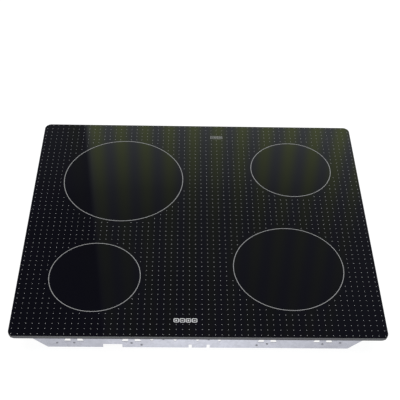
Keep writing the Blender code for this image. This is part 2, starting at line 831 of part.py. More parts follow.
def fan_outline(wall, outlet):
    """Housing outline about the rotor's axis: a half round back, and an outlet towards the front."""
    radius, right = FAN_RADIUS - wall, FAN_OUTLET_RIGHT - wall
    front = [(-radius, outlet), (right, outlet), (right, FAN_FRONT + wall), (radius, FAN_SHOULDER)]
    return list(dict.fromkeys(front)) + arc((0, 0), radius, 0, 180, 12)


def fan_housing(side, sign):
    centre = Vector((sign * FAN_X, FAN_Y))
    low, high = FAN_HOUSING_Z

    def placed(outline):
        return [Vector(point) + centre for point in outline]

    bm = bmesh.new()
    prism(bm, placed(fan_outline(0, FAN_FRONT)), (low, high))
    housing = add_object(f"fan_housing_{side}", bm, BLACK_PLASTIC)
    cavity = bmesh.new()
    prism(cavity, placed(fan_outline(FAN_WALL, FAN_FRONT - 4)), (low + FAN_WALL, high - FAN_WALL))
    combine(housing, cavity)
    inlet = bmesh.new()
    cylinder(inlet, centre, 30, (low - 2, low + FAN_WALL + 1), 24)
    combine(housing, inlet)


def fan_rotor(side, sign):
    """Cup hub over the motor, a disc and a ring of curved blades below it."""
    centre = Vector((sign * FAN_X, FAN_Y))
    disc = (18.5, 20)
    profile = [(0, 8), (14.5, 8), (14.5, disc[0]), (35, disc[0])]
    profile += [(35, disc[1]), (13, disc[1]), (13, 9.5), (0, 9.5)]
    bm = bmesh.new()
    lathe(bm, profile, centre, 20)
    pivot = (centre.x, centre.y, 0)
    rotor = add_object(f"fan_rotor_{side}", bm, BLACK_PLASTIC, pivot)
    blades = bmesh.new()
    for index in range(FAN_BLADES):
        turn = Matrix.Rotation(math.tau * index / FAN_BLADES, 2)
        blade = [(24, -0.6), (34, 3.4), (34, 4.6), (24, 0.6)]
        prism(blades, [turn @ Vector(point) + centre for point in blade], (7, disc[0] + 0.7))
    combine(rotor, blades, "UNION")


def fan_motor(side, sign):
    """Wound stator hanging from the housing's lid inside the rotor's hub."""
    top = FAN_HOUSING_Z[1] - FAN_WALL - GAP
    profile = [(0, 9.8), (2, 9.8), (2, 11), (12, 11), (12, 20), (9, 20), (9, top), (0, top)]
    bm = bmesh.new()
    lathe(bm, profile, (sign * FAN_X, FAN_Y), 20)
    add_object(f"fan_motor_{side}", bm, COPPER)


# --- Mains connection and control socket ---------------------------------------------------------

EAR_Z = (1.9, 5.5)
EAR_Y = 237
EAR_WIDTH = 2


def terminal_box():
    """Five-sided box, open to the back, with two ears that carry the cover's pins."""
    (x0, x1), (y0, y1), (z0, z1) = BOX_X, BOX_Y, BOX_Z
    bm = bmesh.new()
    box(bm, BOX_X, BOX_Y, BOX_Z)
    holder = add_object("terminal_box", bm, BLACK_PLASTIC)
    hollow = bmesh.new()
    box(hollow, (x0 + BOX_WALL, x1 - BOX_WALL), (y0 + BOX_WALL, y1 + 5), (z0 + 1.2, z1 - BOX_WALL))
    combine(holder, hollow)
    ears = bmesh.new()
    for x_range in ((x0 - 0.2, x0 + EAR_WIDTH), (x1 - EAR_WIDTH, x1 + 0.2)):
        box(ears, x_range, (y1 - 4, EAR_Y), EAR_Z)
    combine(holder, ears, "UNION")
    openings = bmesh.new()
    tongue = (BLOCK_X[0] - 1, BLOCK_X[1] + 1)
    box(openings, tongue, (y0 - 2, y0 + 2.5), (BOARD_Z[0] - 1, BLOCK_Z[1] + 1))
    for x_range in ((x0 - 1, x0 + EAR_WIDTH + 1), (x1 - EAR_WIDTH - 1, x1 + 1)):
        prism(openings, circle(1.2, 12, (COVER_AXIS_Y, COVER_AXIS_Z)), x_range, "x")
    combine(holder, openings)


def terminal_block():
    """Block with a row of wire entries towards the back and screw wells on top."""
    bm = bmesh.new()
    box(bm, BLOCK_X, BLOCK_Y, BLOCK_Z)
    block = add_object("terminal_block", bm, WHITE_PLASTIC)
    entries, wells = bmesh.new(), bmesh.new()
    for x in terminal_places():
        prism(entries, circle(2.5, 10, (x, BLOCK_Z[0] + 4)), (BLOCK_Y[1] - 12, BLOCK_Y[1] + 2), "y")
        cylinder(wells, (x, sum(BLOCK_Y) / 2), 3.2, (BLOCK_Z[0] + 7.5, BLOCK_Z[1] + 2), 12)
    combine(block, entries)
    combine(block, wells)


def terminal_places():
    pitch = (BLOCK_X[1] - BLOCK_X[0]) / WIRE_ENTRIES
    return [BLOCK_X[0] + pitch * (index + 0.5) for index in range(WIRE_ENTRIES)]


def terminal_cover():
    """Flap over the box, turning on two pins that sit in the box's ears."""
    (x0, x1), (y0, y1), z1 = BOX_X, (SKIRT_HALF_Y + 0.4, SKIRT_HALF_Y + 2.4), BOX_Z[1] + 0.5
    inside = EAR_WIDTH + GAP * 2
    outline = [
        (x0 + inside, COVER_AXIS_Z),
        (x1 - inside, COVER_AXIS_Z),
        (x1 - inside, EAR_Z[1] + 1),
        (x1, EAR_Z[1] + 1),
        (x1, z1),
        (x0, z1),
        (x0, EAR_Z[1] + 1),
        (x0 + inside, EAR_Z[1] + 1),
    ]
    bm = bmesh.new()
    prism(bm, outline, (y0, y1), "y")
    pivot = (sum(BOX_X) / 2, COVER_AXIS_Y, COVER_AXIS_Z)
    cover = add_object("terminal_cover", bm, BLACK_PLASTIC, pivot)
    axis = (COVER_AXIS_Y, COVER_AXIS_Z)
    pins = bmesh.new()
    prism(pins, circle(0.9, 12, axis), (x0 + GAP, x1 - GAP), "x")
    combine(cover, pins, "UNION")
    barrel = bmesh.new()
    prism(barrel, circle(1.2, 12, axis), (x0 + inside + 0.2, x1 - inside - 0.2), "x")
    combine(cover, barrel, "UNION")


def control_socket():
    """Socket on the tray's front wall for the lead of a separate control panel."""
    x_range, y_range, z_range = (-146, -122), (-224, -TRAY_HALF_Y - 0.6), (3, 14)
    bm = bmesh.new()
    box(bm, x_range, y_range, z_range)
    socket = add_object("control_socket", bm, WHITE_PLASTIC)
    mouth = bmesh.new()
    wall = 1.5
    mouth_x = (x_range[0] + wall, x_range[1] - wall)
    box(mouth, mouth_x, (y_range[0] - 2, y_range[1] - wall - 1), (z_range[0] + wall, z_range[1] - wall))
    combine(socket, mouth)


# --- Worktop clamps ------------------------------------------------------------------------------


def clamps():
    """Arms parked inside the casing. Turned out by 90 degrees, each grips the worktop from below."""
    half_width, tail, tip_top, thickness = 8, 9, 12, 1.5
    for name, x_sign, y_sign in clamp_places():
        x, y = x_sign * CLAMP_X, y_sign * CLAMP_Y
        inwards = -y_sign
        ends = sorted((y - inwards * tail, y + inwards * CLAMP_REACH))
        bm = bmesh.new()
        box(bm, (x - half_width, x + half_width), ends, CLAMP_Z)
        bracket = add_object(f"clamp_bracket_{name}", bm, ZINC_STEEL, (x, y, 0))
        tip = bmesh.new()
        tip_y = sorted((y + inwards * (CLAMP_REACH + 0.5), y + inwards * (CLAMP_REACH - thickness)))
        box(tip, (x - half_width + 1, x + half_width - 1), tip_y, (CLAMP_Z[0] + 0.5, tip_top))
        combine(bracket, tip, "UNION")
        hole = bmesh.new()
        cylinder(hole, (x, y), 2.3, (CLAMP_Z[0] - 2, CLAMP_Z[1] + 2))
        combine(bracket, hole)
        head = CLAMP_Z[0] - GAP
        screw = bmesh.new()
        stepped_rod(screw, (x, y), [(4, 2.5), (4, head), (2, head), (2, 24)])
        add_object(f"clamp_screw_{name}", screw, ZINC_STEEL, (x, y, 0))


def clear_scene():
    for obj in list(bpy.data.objects):
        bpy.data.objects.remove(obj)


def build():
    clear_scene()
    glass_top()
    glass_adhesive()
    worktop_seal()
    frame_skirt()
    base_tray()
    coil_decks()
    deck_springs()
    for zone in ZONES:
        coil_stack(zone)
        ferrite_star(zone)
        temperature_sensor(zone)
    coil_leads()
    power_boards()
    filter_board()
    control_board()
    heat_sinks()
    signal_ribbon()
    for side, sign in SIDES.items():
        fan_housing(side, sign)
        fan_rotor(side, sign)
        fan_motor(side, sign)
    terminal_box()
    terminal_block()
    terminal_cover()
    control_socket()
    clamps()


build()
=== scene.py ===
"""Looks of the built-in induction cooktop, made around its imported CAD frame.

The functions that model shapes take millimetres in the frame of the CAD model, and add_piece turns
them into metres.
"""

import math

import bmesh
import bpy
from mathutils import Matrix, Vector


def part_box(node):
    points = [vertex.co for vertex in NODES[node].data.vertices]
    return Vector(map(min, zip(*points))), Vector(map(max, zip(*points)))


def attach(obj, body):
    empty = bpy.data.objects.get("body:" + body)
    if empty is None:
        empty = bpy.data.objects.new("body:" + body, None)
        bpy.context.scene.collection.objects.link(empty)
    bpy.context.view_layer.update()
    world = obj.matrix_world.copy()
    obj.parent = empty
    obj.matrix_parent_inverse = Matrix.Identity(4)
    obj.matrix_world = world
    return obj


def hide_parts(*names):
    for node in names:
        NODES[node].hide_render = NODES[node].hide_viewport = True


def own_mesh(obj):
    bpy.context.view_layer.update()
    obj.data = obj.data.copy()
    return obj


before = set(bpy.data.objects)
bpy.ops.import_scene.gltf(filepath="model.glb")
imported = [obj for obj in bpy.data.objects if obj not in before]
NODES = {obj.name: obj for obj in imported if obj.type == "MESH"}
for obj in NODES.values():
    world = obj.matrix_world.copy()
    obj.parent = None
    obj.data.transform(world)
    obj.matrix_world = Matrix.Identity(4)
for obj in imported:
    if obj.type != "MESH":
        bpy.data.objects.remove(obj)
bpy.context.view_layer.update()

MM = 0.001
SIDES = {"left": -1, "right": 1}

# Centre and radius of each zone's coil, and of its printed ring, which sits up to 1 mm off the coil.
ZONES = {
    "rear_left": (-134.0, 101.0, 105.5),
    "rear_right": (168.5, 134.0, 73.0),
    "front_left": (-168.0, -131.5, 73.0),
    "front_right": (146.5, -109.5, 90.5),
}
RINGS = {
    "rear_left": (-133.2, 100.8, 105.7),
    "rear_right": (168.8, 133.0, 72.5),
    "front_left": (-167.4, -131.5, 73.2),
    "front_right": (146.8, -109.6, 90.1),
}


def node_box(node):
    """Lowest and highest corner of a CAD node in millimetres."""
    low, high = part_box(node)
    return low / MM, high / MM


def node_middle(node):
    """Middle of a CAD node as seen from above."""
    low, high = node_box(node)
    return (low.x + high.x) / 2, (low.y + high.y) / 2


GLASS_LOW, GLASS_HIGH = node_box("glass_top")
SKIRT_LOW, SKIRT_HIGH = node_box("frame_skirt")


# --- Node trees ---


class Nodes:
    """A node tree, with helpers that add nodes to it and link them."""

    def __init__(self, tree):
        self.tree = tree

    def feed(self, socket, value):
        """Links a socket to another one, or sets its value. Colours have three channels."""
        if isinstance(value, bpy.types.NodeSocket):
            self.tree.links.new(value, socket)
        else:
            socket.default_value = (*value, 1) if socket.type == "RGBA" else value

    def node(self, kind, inputs=(), **settings):
        made = self.tree.nodes.new(kind)
        for key, value in settings.items():
            setattr(made, key, value)
        for key, value in dict(inputs).items():
            self.feed(made.inputs[key], value)
        return made

    def math(self, operation, first, second=0.0):
        return self.node("ShaderNodeMath", {0: first, 1: second}, operation=operation).outputs[0]

    def spread(self, value, low, high, from_low=0.0, from_high=1.0):
        """The value stretched from one range to another."""
        inputs = {"Value": value, "From Min": from_low, "From Max": from_high, "To Min": low, "To Max": high}
        return self.node("ShaderNodeMapRange", inputs).outputs[0]

    def mixed(self, factor, first, second, blend="MIX"):
        """A colour between two, by the factor."""
        made = self.node("ShaderNodeMix", {"Factor": factor}, data_type="RGBA", blend_type=blend)
        colours = [socket for socket in made.inputs if socket.type == "RGBA"]
        for socket, value in zip(colours, (first, second)):
            self.feed(socket, value)
        return next(socket for socket in made.outputs if socket.type == "RGBA")


# --- Materials ---


class Look(Nodes):
    """A Principled material, with helpers that add procedural detail to it."""

    def __init__(self, name, colour, roughness, metallic=0.0, **sockets):
        self.material = bpy.data.materials.new(name)
        self.material.use_nodes = True
        super().__init__(self.material.node_tree)
        self.inputs = self.tree.nodes["Principled BSDF"].inputs
        sockets = {"Base_Color": colour, "Roughness": roughness, "Metallic": metallic, **sockets}
        for socket, value in sockets.items():
            self.feed(self.inputs[socket.replace("_", " ")], value)
        self.places = self.node("ShaderNodeTexCoord").outputs["Object"]

    def mapped(self, places, scale, turn=(0, 0, 0)):
        """Coordinates scaled by a different factor along each axis."""
        return self.node("ShaderNodeMapping", {"Vector": places, "Scale": scale, "Rotation": turn}).outputs[0]

    def stretched(self, scale, turn=(0, 0, 0)):
        return self.mapped(self.places, scale, turn)

    def noise(self, scale, detail=3.0, roughness=0.5, vector=None):
        inputs = {"Vector": vector or self.places, "Scale": scale, "Detail": detail, "Roughness": roughness}
        return self.node("ShaderNodeTexNoise", inputs).outputs["Fac"]

    def cells(self, scale, vector=None, output="Color"):
        inputs = {"Vector": vector or self.places, "Scale": scale}
        return self.node("ShaderNodeTexVoronoi", inputs, feature="F1").outputs[output]

    def tone_of_cells(self, scale, vector=None):
        """A random value for each cell."""
        return self.node("ShaderNodeSeparateColor", {0: self.cells(scale, vector)}).outputs[0]

    def stripes(self, scale, vector, distortion=0.0, profile="SIN", direction="X"):
        inputs = {"Vector": vector, "Scale": scale, "Distortion": distortion}
        settings = {"wave_profile": profile, "bands_direction": direction}
        return self.node("ShaderNodeTexWave", inputs, **settings).outputs["Fac"]

    def strands(self, scale, slant, distortion=0.0):
        """Diagonal stripes over the UVs of a swept wire."""
        wound = self.node("ShaderNodeUVMap", uv_map="wire").outputs[0]
        return self.stripes(scale, self.mapped(wound, (slant, 1, 1)), distortion, direction="DIAGONAL")

    def follow(self, factor, tones=None, gloss=None, relief=None):
        """Lets the colour, the roughness and the relief follow a factor."""
        if tones:
            self.feed(self.inputs["Base Color"], self.mixed(factor, *tones))
        if gloss:
            self.feed(self.inputs["Roughness"], self.spread(factor, *gloss))
        if relief:
            inputs = {"Height": factor, "Strength": relief[0], "Distance": relief[1]}
            self.feed(self.inputs["Normal"], self.node("ShaderNodeBump", inputs).outputs[0])
        return self.material


def noisy(name, colour, roughness, metallic, noise, tones, gloss=None, relief=None, grain=None, **sockets):
    """A look that follows one noise. With a grain, the relief follows that second noise instead."""
    look = Look(name, colour, roughness, metallic, **sockets)
    tone = look.noise(*noise)
    if grain:
        look.follow(look.noise(*grain), relief=relief)
        relief = None
    return look.follow(tone, tones, gloss, relief)


def dimmed(colour, share):
    return tuple(channel * share for channel in colour)


def black_glass():
    """Polished glass-ceramic, with the faint film of a wiped surface in its gloss."""
    look = Look("black_glass", (0.003, 0.003, 0.005), 0.02, Specular_IOR_Level=0.5, IOR=1.5)
    wiped = look.noise(14, 5, 0.62, look.stretched((1, 2.2, 1), (0, 0, 0.5)))
    look.follow(wiped, gloss=(0.008, 0.03, 0.3, 0.75))
    return look.follow(look.noise(7, 4), ((0.0024, 0.0024, 0.0042), (0.0038, 0.0036, 0.0064)))


def ground_edge():
    """Finely ground glass along the bevelled front edge."""
    look = Look("ground_glass_edge", (0.10, 0.10, 0.106), 0.4, Specular_IOR_Level=0.5)
    look.follow(look.noise(5200, 2), relief=(0.25, 0.00002))
    streaks = look.noise(60, 6, 0.7, look.stretched((1, 12, 12)))
    return look.follow(streaks, ((0.078, 0.079, 0.085), (0.115, 0.115, 0.122)), (0.3, 0.5))


def enamel(name, colour):
    """Printed ceramic ink, slightly speckled."""
    tones = dimmed(colour, 0.82), colour
    texture = {"relief": (0.2, 0.00002), "grain": (4200, 2)}
    return noisy(name, colour, 0.45, 0, (2600, 2), tones, **texture, Specular_IOR_Level=0.4)


def galvanised():
    """Zinc-coated sheet: spangles, rolling lines, handling marks, and painted shade that darkens it towards
    the folded corners at both ends along X.
    """
    look = Look("galvanised_steel", (0.66, 0.665, 0.74), 0.45, 0.7)
    tint = look.tone_of_cells(210)
    body = look.mixed(tint, (0.595, 0.605, 0.68), (0.705, 0.715, 0.80))
    marked = look.mixed(look.spread(look.noise(22, 5, 0.6), 0.0, 0.35, 0.45, 0.8), body, (0.52, 0.53, 0.59))
    # Painted shade: the colour is mixed towards dark grey with distance from the middle along X, from 5 cm to
    # 20 cm out, on the skirt and the tray alike.
    across = look.math("ABSOLUTE", look.node("ShaderNodeSeparateXYZ", {0: look.places}).outputs["X"])
    painted_end_shade = look.math("ADD", across, look.spread(look.noise(30, 3), -0.02, 0.02, 0.3, 0.7))
    look.follow(look.spread(painted_end_shade, 0.0, 0.3, 0.05, 0.2), (marked, (0.09, 0.09, 0.11)))
    rolled = look.noise(90, 4, 0.6, look.stretched((0.4, 14, 14)))
    gloss = look.math("ADD", look.spread(tint, 0.36, 0.5), look.spread(rolled, -0.05, 0.05))
    look.feed(look.inputs["Roughness"], gloss)
    spangle = look.math("MULTIPLY", look.cells(210, output="Distance"), 0.25)
    return look.follow(look.math("ADD", spangle, look.math("MULTIPLY", rolled, 0.5)), relief=(0.25, 0.00006))


def rolled_aluminium():
    look = Look("rolled_aluminium", (0.74, 0.75, 0.77), 0.34, 1.0)
    lines = look.noise(120, 5, 0.65, look.stretched((14, 0.5, 14)))
    return look.follow(lines, ((0.68, 0.69, 0.71), (0.80, 0.81, 0.83)), (0.26, 0.44), (0.12, 0.00003))


def moulded(name, colour, roughness=0.5):
    """Moulded plastic with a fine spark-eroded texture and slow changes of tone."""
    look = Look(name, colour, roughness, Specular_IOR_Level=0.45)
    look.follow(look.noise(30, 3), (dimmed(colour, 0.88), colour))
    return look.follow(look.noise(1500, 3, 0.6), None, (roughness - 0.07, roughness + 0.08), (0.3, 0.00004))


def litz_wire():
    """Twisted bundle of enamelled strands; the strands follow the wire's own length."""
    look = Look("litz_wire", (0.72, 0.36, 0.17), 0.34, 0.85)
    tones = (0.40, 0.16, 0.06), (0.86, 0.47, 0.24)
    return look.follow(look.strands(0.8, 0.35, 0.5), tones, (0.45, 0.28), (0.6, 0.0001))


def braided_sleeve():
    """Woven glass-fibre sleeve: two families of strands crossing along the wire."""
    look = Look("braided_sleeve", (0.72, 0.70, 0.62), 0.65)
    crossing = look.math("MAXIMUM", look.strands(1.1, 0.9), look.strands(1.1, -0.9))
    return look.follow(crossing, ((0.50, 0.48, 0.41), (0.80, 0.78, 0.71)), relief=(0.5, 0.0001))


def mica_sheet():
    """Pressed mica: overlapping flakes with a silky sheen."""
    look = Look("pressed_mica", (0.62, 0.58, 0.46), 0.42, Specular_IOR_Level=0.6)
    tones = (0.50, 0.46, 0.35), (0.72, 0.68, 0.56)
    return look.follow(look.tone_of_cells(420), tones, (0.3, 0.55), (0.2, 0.00003))


def foam_tape():
    look = Look("foam_tape", (0.05, 0.05, 0.05), 0.9)
    pores = look.cells(1500, output="Distance")
    return look.follow(pores, ((0.025, 0.025, 0.025), (0.07, 0.07, 0.07)), relief=(0.6, 0.0001))


def solder_mask():
    """Green lacquer over copper tracks that run in right-angled bands."""
    look = Look("solder_mask", (0.02, 0.14, 0.06), 0.32, Coat_Weight=0.3, Coat_Roughness=0.2)
    tracks = look.tone_of_cells(95, look.stretched((1, 1, 0.02)))
    bands = look.stripes(160, look.stretched((1, 1, 0)), 0.0, "SAW")
    copper = look.math("MULTIPLY", look.spread(tracks, 0, 1, 0.35, 0.4), look.spread(bands, 0, 1, 0.42, 0.5))
    return look.follow(copper, ((0.012, 0.105, 0.045), (0.05, 0.22, 0.085)), relief=(0.3, 0.00004))


def lacquer(name, colour):
    """Dipped or potted component body with a soft gloss."""
    tones = dimmed(colour, 0.85), colour
    return noisy(name, colour, 0.3, 0, (90, 3), tones, (0.24, 0.38), Coat_Weight=0.2, Coat_Roughness=0.15)


GALVANISED = galvanised()
ALUMINIUM = rolled_aluminium()
SOLDER_MASK = solder_mask()
ZINC = noisy(
    "zinc_plated_steel", (0.66, 0.66, 0.62), 0.3, 1.0, (160, 4), ((0.60, 0.60, 0.55), (0.74, 0.74, 0.71)),
    (0.24, 0.42), (0.12, 0.00003), (1600, 3),
)
OXIDISED_STEEL = noisy(
    "oxidised_steel", (0.28, 0.28, 0.31), 0.5, 0.5, (900, 4), ((0.23, 0.23, 0.26), (0.33, 0.33, 0.37)),
    (0.42, 0.6),
)
SPRING_STEEL = noisy(
    "spring_wire", (0.5, 0.5, 0.52), 0.26, 1.0, (700, 3), ((0.42, 0.42, 0.44), (0.58, 0.58, 0.60)),
    (0.2, 0.36),
)
COPPER = noisy(
    "enamelled_copper", (0.62, 0.27, 0.11), 0.25, 0.8, (400, 3), ((0.50, 0.19, 0.07), (0.74, 0.36, 0.17)),
    (0.2, 0.34),
)
BRASS = noisy(
    "brass", (0.70, 0.52, 0.25), 0.28, 1.0, (500, 3), ((0.60, 0.43, 0.19), (0.78, 0.60, 0.32)), (0.22, 0.38)
)
TIN = noisy(
    "tinned_metal", (0.72, 0.72, 0.70), 0.25, 1.0, (700, 3), ((0.62, 0.62, 0.60), (0.80, 0.80, 0.78)),
    (0.18, 0.36),
)
FERRITE = noisy(
    "sintered_ferrite", (0.06, 0.06, 0.065), 0.5, 0, (2400, 3, 0.7),
    ((0.04, 0.04, 0.045), (0.085, 0.085, 0.09)), (0.4, 0.62), (0.35, 0.00004),
)
SILICONE = noisy(
    "silicone_bead", (0.03, 0.03, 0.03), 0.55, 0, (240, 3), ((0.022, 0.022, 0.022), (0.045, 0.045, 0.045)),
    relief=(0.2, 0.00008), Specular_IOR_Level=0.5,
)
LED_LENS = noisy(
    "led_lens", (0.55, 0.03, 0.02), 0.12, 0, (500, 2), ((0.45, 0.02, 0.015), (0.62, 0.05, 0.03)),
    Transmission_Weight=0.4, IOR=1.5,
)
BLACK_PLASTIC = moulded("black_nylon", (0.022, 0.022, 0.024))
GREY_PLASTIC = moulded("grey_polyamide", (0.34, 0.34, 0.35))
WHITE_PLASTIC = moulded("white_polyamide", (0.76, 0.75, 0.71), 0.42)
GREY_LACQUER = lacquer("film_capacitor_box", (0.42, 0.44, 0.46))
YELLOW_LACQUER = lacquer("filter_capacitor_box", (0.72, 0.50, 0.07))
DARK_LACQUER = lacquer("capacitor_sleeve", (0.03, 0.035, 0.05))
TAN_LACQUER = lacquer("resistor_body", (0.55, 0.40, 0.24))
BLUE_LACQUER = lacquer("varistor_body", (0.03, 0.12, 0.42))


# --- Camera, light and floor ---

CAMERA_PLACE = (-0.0268, -1.1220, 1.1611)
CAMERA_AIM = (0.0171, 0.0492, 0.051)
CAMERA_ROLL = 2.098
CAMERA_LENS = 82.77
CAMERA_SHIFT = -0.02
SENSOR_WIDTH = 36
SOFTBOX_PLACE = (0.0, -0.1, 2.2)
SOFTBOX_SIZE = (2.6, 2.2)
SOFTBOX_POWER = 62
FLOOR_REACH = 40.0
FLOOR_Z = -0.0002
FLOOR_GLOW = 0.93

# Brightness of the studio by the sine of the elevation above the horizon. Its upper part is cooler.
SKY = (
    (0.0, 0.9), (0.35, 0.8), (0.60, 0.75), (0.628, 0.60), (0.645, 0.42), (0.662, 0.30),
    (0.68, 0.17), (0.703, 0.10), (0.75, 0.06), (0.80, 0.045), (1.0, 0.045),
)
COOL_ABOVE = 0.5
COOL = (0.9, 0.98, 1.0)
# High windows with blinds behind the object, and the dark wall to their left: bearings from straight
# back, and sines of the elevations they lie between.
WINDOW_BAND = (0.48, 0.85)
BLIND_TINT = (1.4, 1.5, 0.62)
BLIND_PITCH = 1.94
BLIND_PHASE = -60
BLINDS = (-8, 14)
DARK_WALL = (-17, -7.9)
WALL_SHADE = 0.78


def linked(name, data):
    obj = bpy.data.objects.new(name, data)
    bpy.context.scene.collection.objects.link(obj)
    return obj


def looking(place, aim):
    turn = (Vector(aim) - Vector(place)).to_track_quat("-Z", "Y")
    return Matrix.Translation(place) @ turn.to_matrix().to_4x4()


def make_camera():
    camera = linked("camera", bpy.data.cameras.new("camera"))
    camera.data.lens = CAMERA_LENS
    camera.data.shift_x = CAMERA_SHIFT
    camera.data.sensor_width = SENSOR_WIDTH
    roll = Matrix.Rotation(math.radians(CAMERA_ROLL), 4, "Z")
    camera.matrix_world = looking(CAMERA_PLACE, CAMERA_AIM) @ roll
    bpy.context.scene.camera = camera


def make_softbox():
    """A wide light overhead that the glass doesn't mirror."""
    softbox = linked("overhead", bpy.data.lights.new("overhead", "AREA"))
    softbox.data.shape = "RECTANGLE"
    softbox.data.size, softbox.data.size_y = SOFTBOX_SIZE
    softbox.data.energy = SOFTBOX_POWER
    softbox.matrix_world = looking(SOFTBOX_PLACE, (0, 0, 0))
    softbox.visible_glossy = False


def make_surroundings():
    """A studio that is bright near the horizon and dim overhead, so that the glass mirrors little."""
    world = bpy.data.worlds.new("studio")
    world.use_nodes = True
    nodes = Nodes(world.node_tree)
    towards = nodes.node("ShaderNodeTexCoord").outputs["Generated"]
    x, y, z = nodes.node("ShaderNodeSeparateXYZ", {0: towards}).outputs
    ramp = nodes.node("ShaderNodeValToRGB", {"Fac": z})
    elements = ramp.color_ramp.elements
    while len(elements) < len(SKY):
        elements.new(0.5)
    for element, (position, value) in zip(elements, SKY):
        element.position = position
        element.color = (*dimmed(COOL if position > COOL_ABOVE else (1, 1, 1), value), 1)
    bearing = nodes.math("ARCTAN2", x, y)

    def within(value, low, high, edge, inside=1.0):
        """A factor between two limits that fades out beyond them."""
        away = nodes.math("ABSOLUTE", nodes.math("SUBTRACT", value, (low + high) / 2))
        return nodes.spread(away, inside, 0.0, (high - low) / 2, (high - low) / 2 + edge)

    def in_band(limits, edge, inside):
        low, high, edge = (math.radians(angle) for angle in (*limits, edge))
        return nodes.math("MULTIPLY", within(bearing, low, high, edge, inside), band)

    band = within(z, *WINDOW_BAND, 0.02)
    turns = nodes.math("MULTIPLY", bearing, math.tau / math.radians(BLIND_PITCH))
    wave = nodes.math("SINE", nodes.math("ADD", turns, math.radians(BLIND_PHASE)))
    blinds = nodes.math("MULTIPLY", in_band(BLINDS, 1.5, 0.5), nodes.math("ADD", wave, 1.0))
    background = nodes.tree.nodes["Background"].inputs
    nodes.feed(background["Color"], nodes.mixed(blinds, ramp.outputs["Color"], BLIND_TINT, "MULTIPLY"))
    nodes.feed(background["Strength"], nodes.math("SUBTRACT", 1.0, in_band(DARK_WALL, 0.4, WALL_SHADE)))
    bpy.context.scene.world = world
    bpy.context.scene.view_settings.view_transform = "Standard"


def make_floor():
    """A pale floor just below the object, which glows so that it stays white to its far end."""
    bm = bmesh.new()
    bm.faces.new([bm.verts.new((x, y, FLOOR_Z)) for x, y in rectangle(FLOOR_REACH, FLOOR_REACH)])
    mesh = bpy.data.meshes.new("floor")
    bm.to_mesh(mesh)
    bm.free()
    glow = {"Emission_Color": (1, 1, 1), "Emission_Strength": FLOOR_GLOW}
    mesh.materials.append(Look("floor", (0.15, 0.15, 0.15), 0.9, Specular_IOR_Level=0.1, **glow).material)
    floor = linked("floor", mesh)


# --- Modelling helpers, in millimetres ---


def about(middle, half):
    """The range that reaches half to both sides of a middle."""
    return middle - half, middle + half


def polar(centre, radius, angle):
    return centre[0] + radius * math.cos(angle), centre[1] + radius * math.sin(angle)


def circle(radius, segments, centre=(0, 0), phase=0.0):
    start = math.radians(phase)
    return [polar(centre, radius, start + math.tau * step / segments) for step in range(segments)]


def turned(points, index, count, centre=(0, 0)):
    """Flat points turned by a share of a full turn and carried to a centre."""
    turn = Matrix.Rotation(math.tau * index / count, 2)
    return [turn @ Vector(point) + Vector(centre) for point in points]


def arc(centre, radius, start, end, segments):
    """Points along an arc given in degrees, both ends included."""
    share = (end - start) / segments
    return [polar(centre, radius, math.radians(start + share * step)) for step in range(segments + 1)]


def rectangle(half_x, half_y, centre=(0, 0)):
    (x0, x1), (y0, y1) = about(centre[0], half_x), about(centre[1], half_y)
    return [(x0, y0), (x1, y0), (x1, y1), (x0, y1)]


def rounded_rectangle(x_range, y_range, radius, segments=4):
    (x0, x1), (y0, y1) = x_range, y_range
    x0, x1, y0, y1 = x0 + radius, x1 - radius, y0 + radius, y1 - radius
    points = []
    for centre, start in (((x1, y1), 0), ((x0, y1), 90), ((x0, y0), 180), ((x1, y0), 270)):
        points += arc(centre, radius, start, start + 90, segments)
    return points


def at_height(outline, z):
    return [(x, y, z) for x, y in outline]


def along(axis, u, v, w):
    """The point at w along the axis, with u and v on the other two axes in order."""
    return {"x": (w, u, v), "y": (u, w, v), "z": (u, v, w)}[axis]


def sides_of(low, high):
    """For each edge between two loops, its four corners in order."""
    return zip(low, low[1:] + low[:1], high[1:] + high[:1], high)


def skin(bm, loops, ring=False):
    """A closed body through loops of equal length: capped at both ends, or joined into a ring."""
    rows = [[bm.verts.new(point) for point in loop] for loop in loops]
    if not ring:
        bm.faces.new(rows[0][::-1])
        bm.faces.new(rows[-1])
    for lower, upper in zip(rows, rows[1:] + rows[:1] if ring else rows[1:]):
        for corners in sides_of(lower, upper):
            bm.faces.new(corners)


def stack(bm, levels, axis="z", ring=False):
    """A body through flat outlines, each given with its place along the axis."""
    skin(bm, [[along(axis, *point, w) for point in outline] for outline, w in levels], ring)


def prism(bm, outline, span, axis="z"):
    stack(bm, [(outline, w) for w in span], axis)


def stepped_rod(bm, centre, steps, axis="z", segments=32, ring=False):
    """A round body whose (radius, position) steps follow each other along an axis, or close into a ring."""
    stack(bm, [(circle(radius, segments, centre), w) for radius, w in steps], axis, ring)


def lathe(bm, profile, centre, segments):
    """A closed (radius, z) profile turned about a vertical axis. Radius 0 is a point on the axis."""
    columns = []
    for radius, z in profile:
        if radius:
            columns.append([bm.verts.new(point) for point in at_height(circle(radius, segments, centre), z)])
        else:
            columns.append([bm.verts.new((*centre, z))] * segments)
    for inner, outer in zip(columns, columns[1:] + columns[:1]):
        for corners in sides_of(inner, outer):
            corners = tuple(dict.fromkeys(corners))
            if len(corners) > 2:
                bm.faces.new(corners)


def annulus(bm, centre, inner, outer, z_range, segments):
    low, high = z_range
    lathe(bm, [(inner, low), (outer, low), (outer, high), (inner, high)], centre, segments)


def soft_box(bm, x_range, y_range, z_range, radius=0.8):
    """A box with rounded upright corners and a chamfered top and bottom edge."""
    (x0, x1), (y0, y1), (low, high) = x_range, y_range, z_range
    edge = radius * 0.5
    outline = rounded_rectangle(x_range, y_range, radius)
    inner = rounded_rectangle((x0 + edge, x1 - edge), (y0 + edge, y1 - edge), edge)
    stack(bm, ((inner, low), (outline, low + edge), (outline, high - edge), (inner, high)))


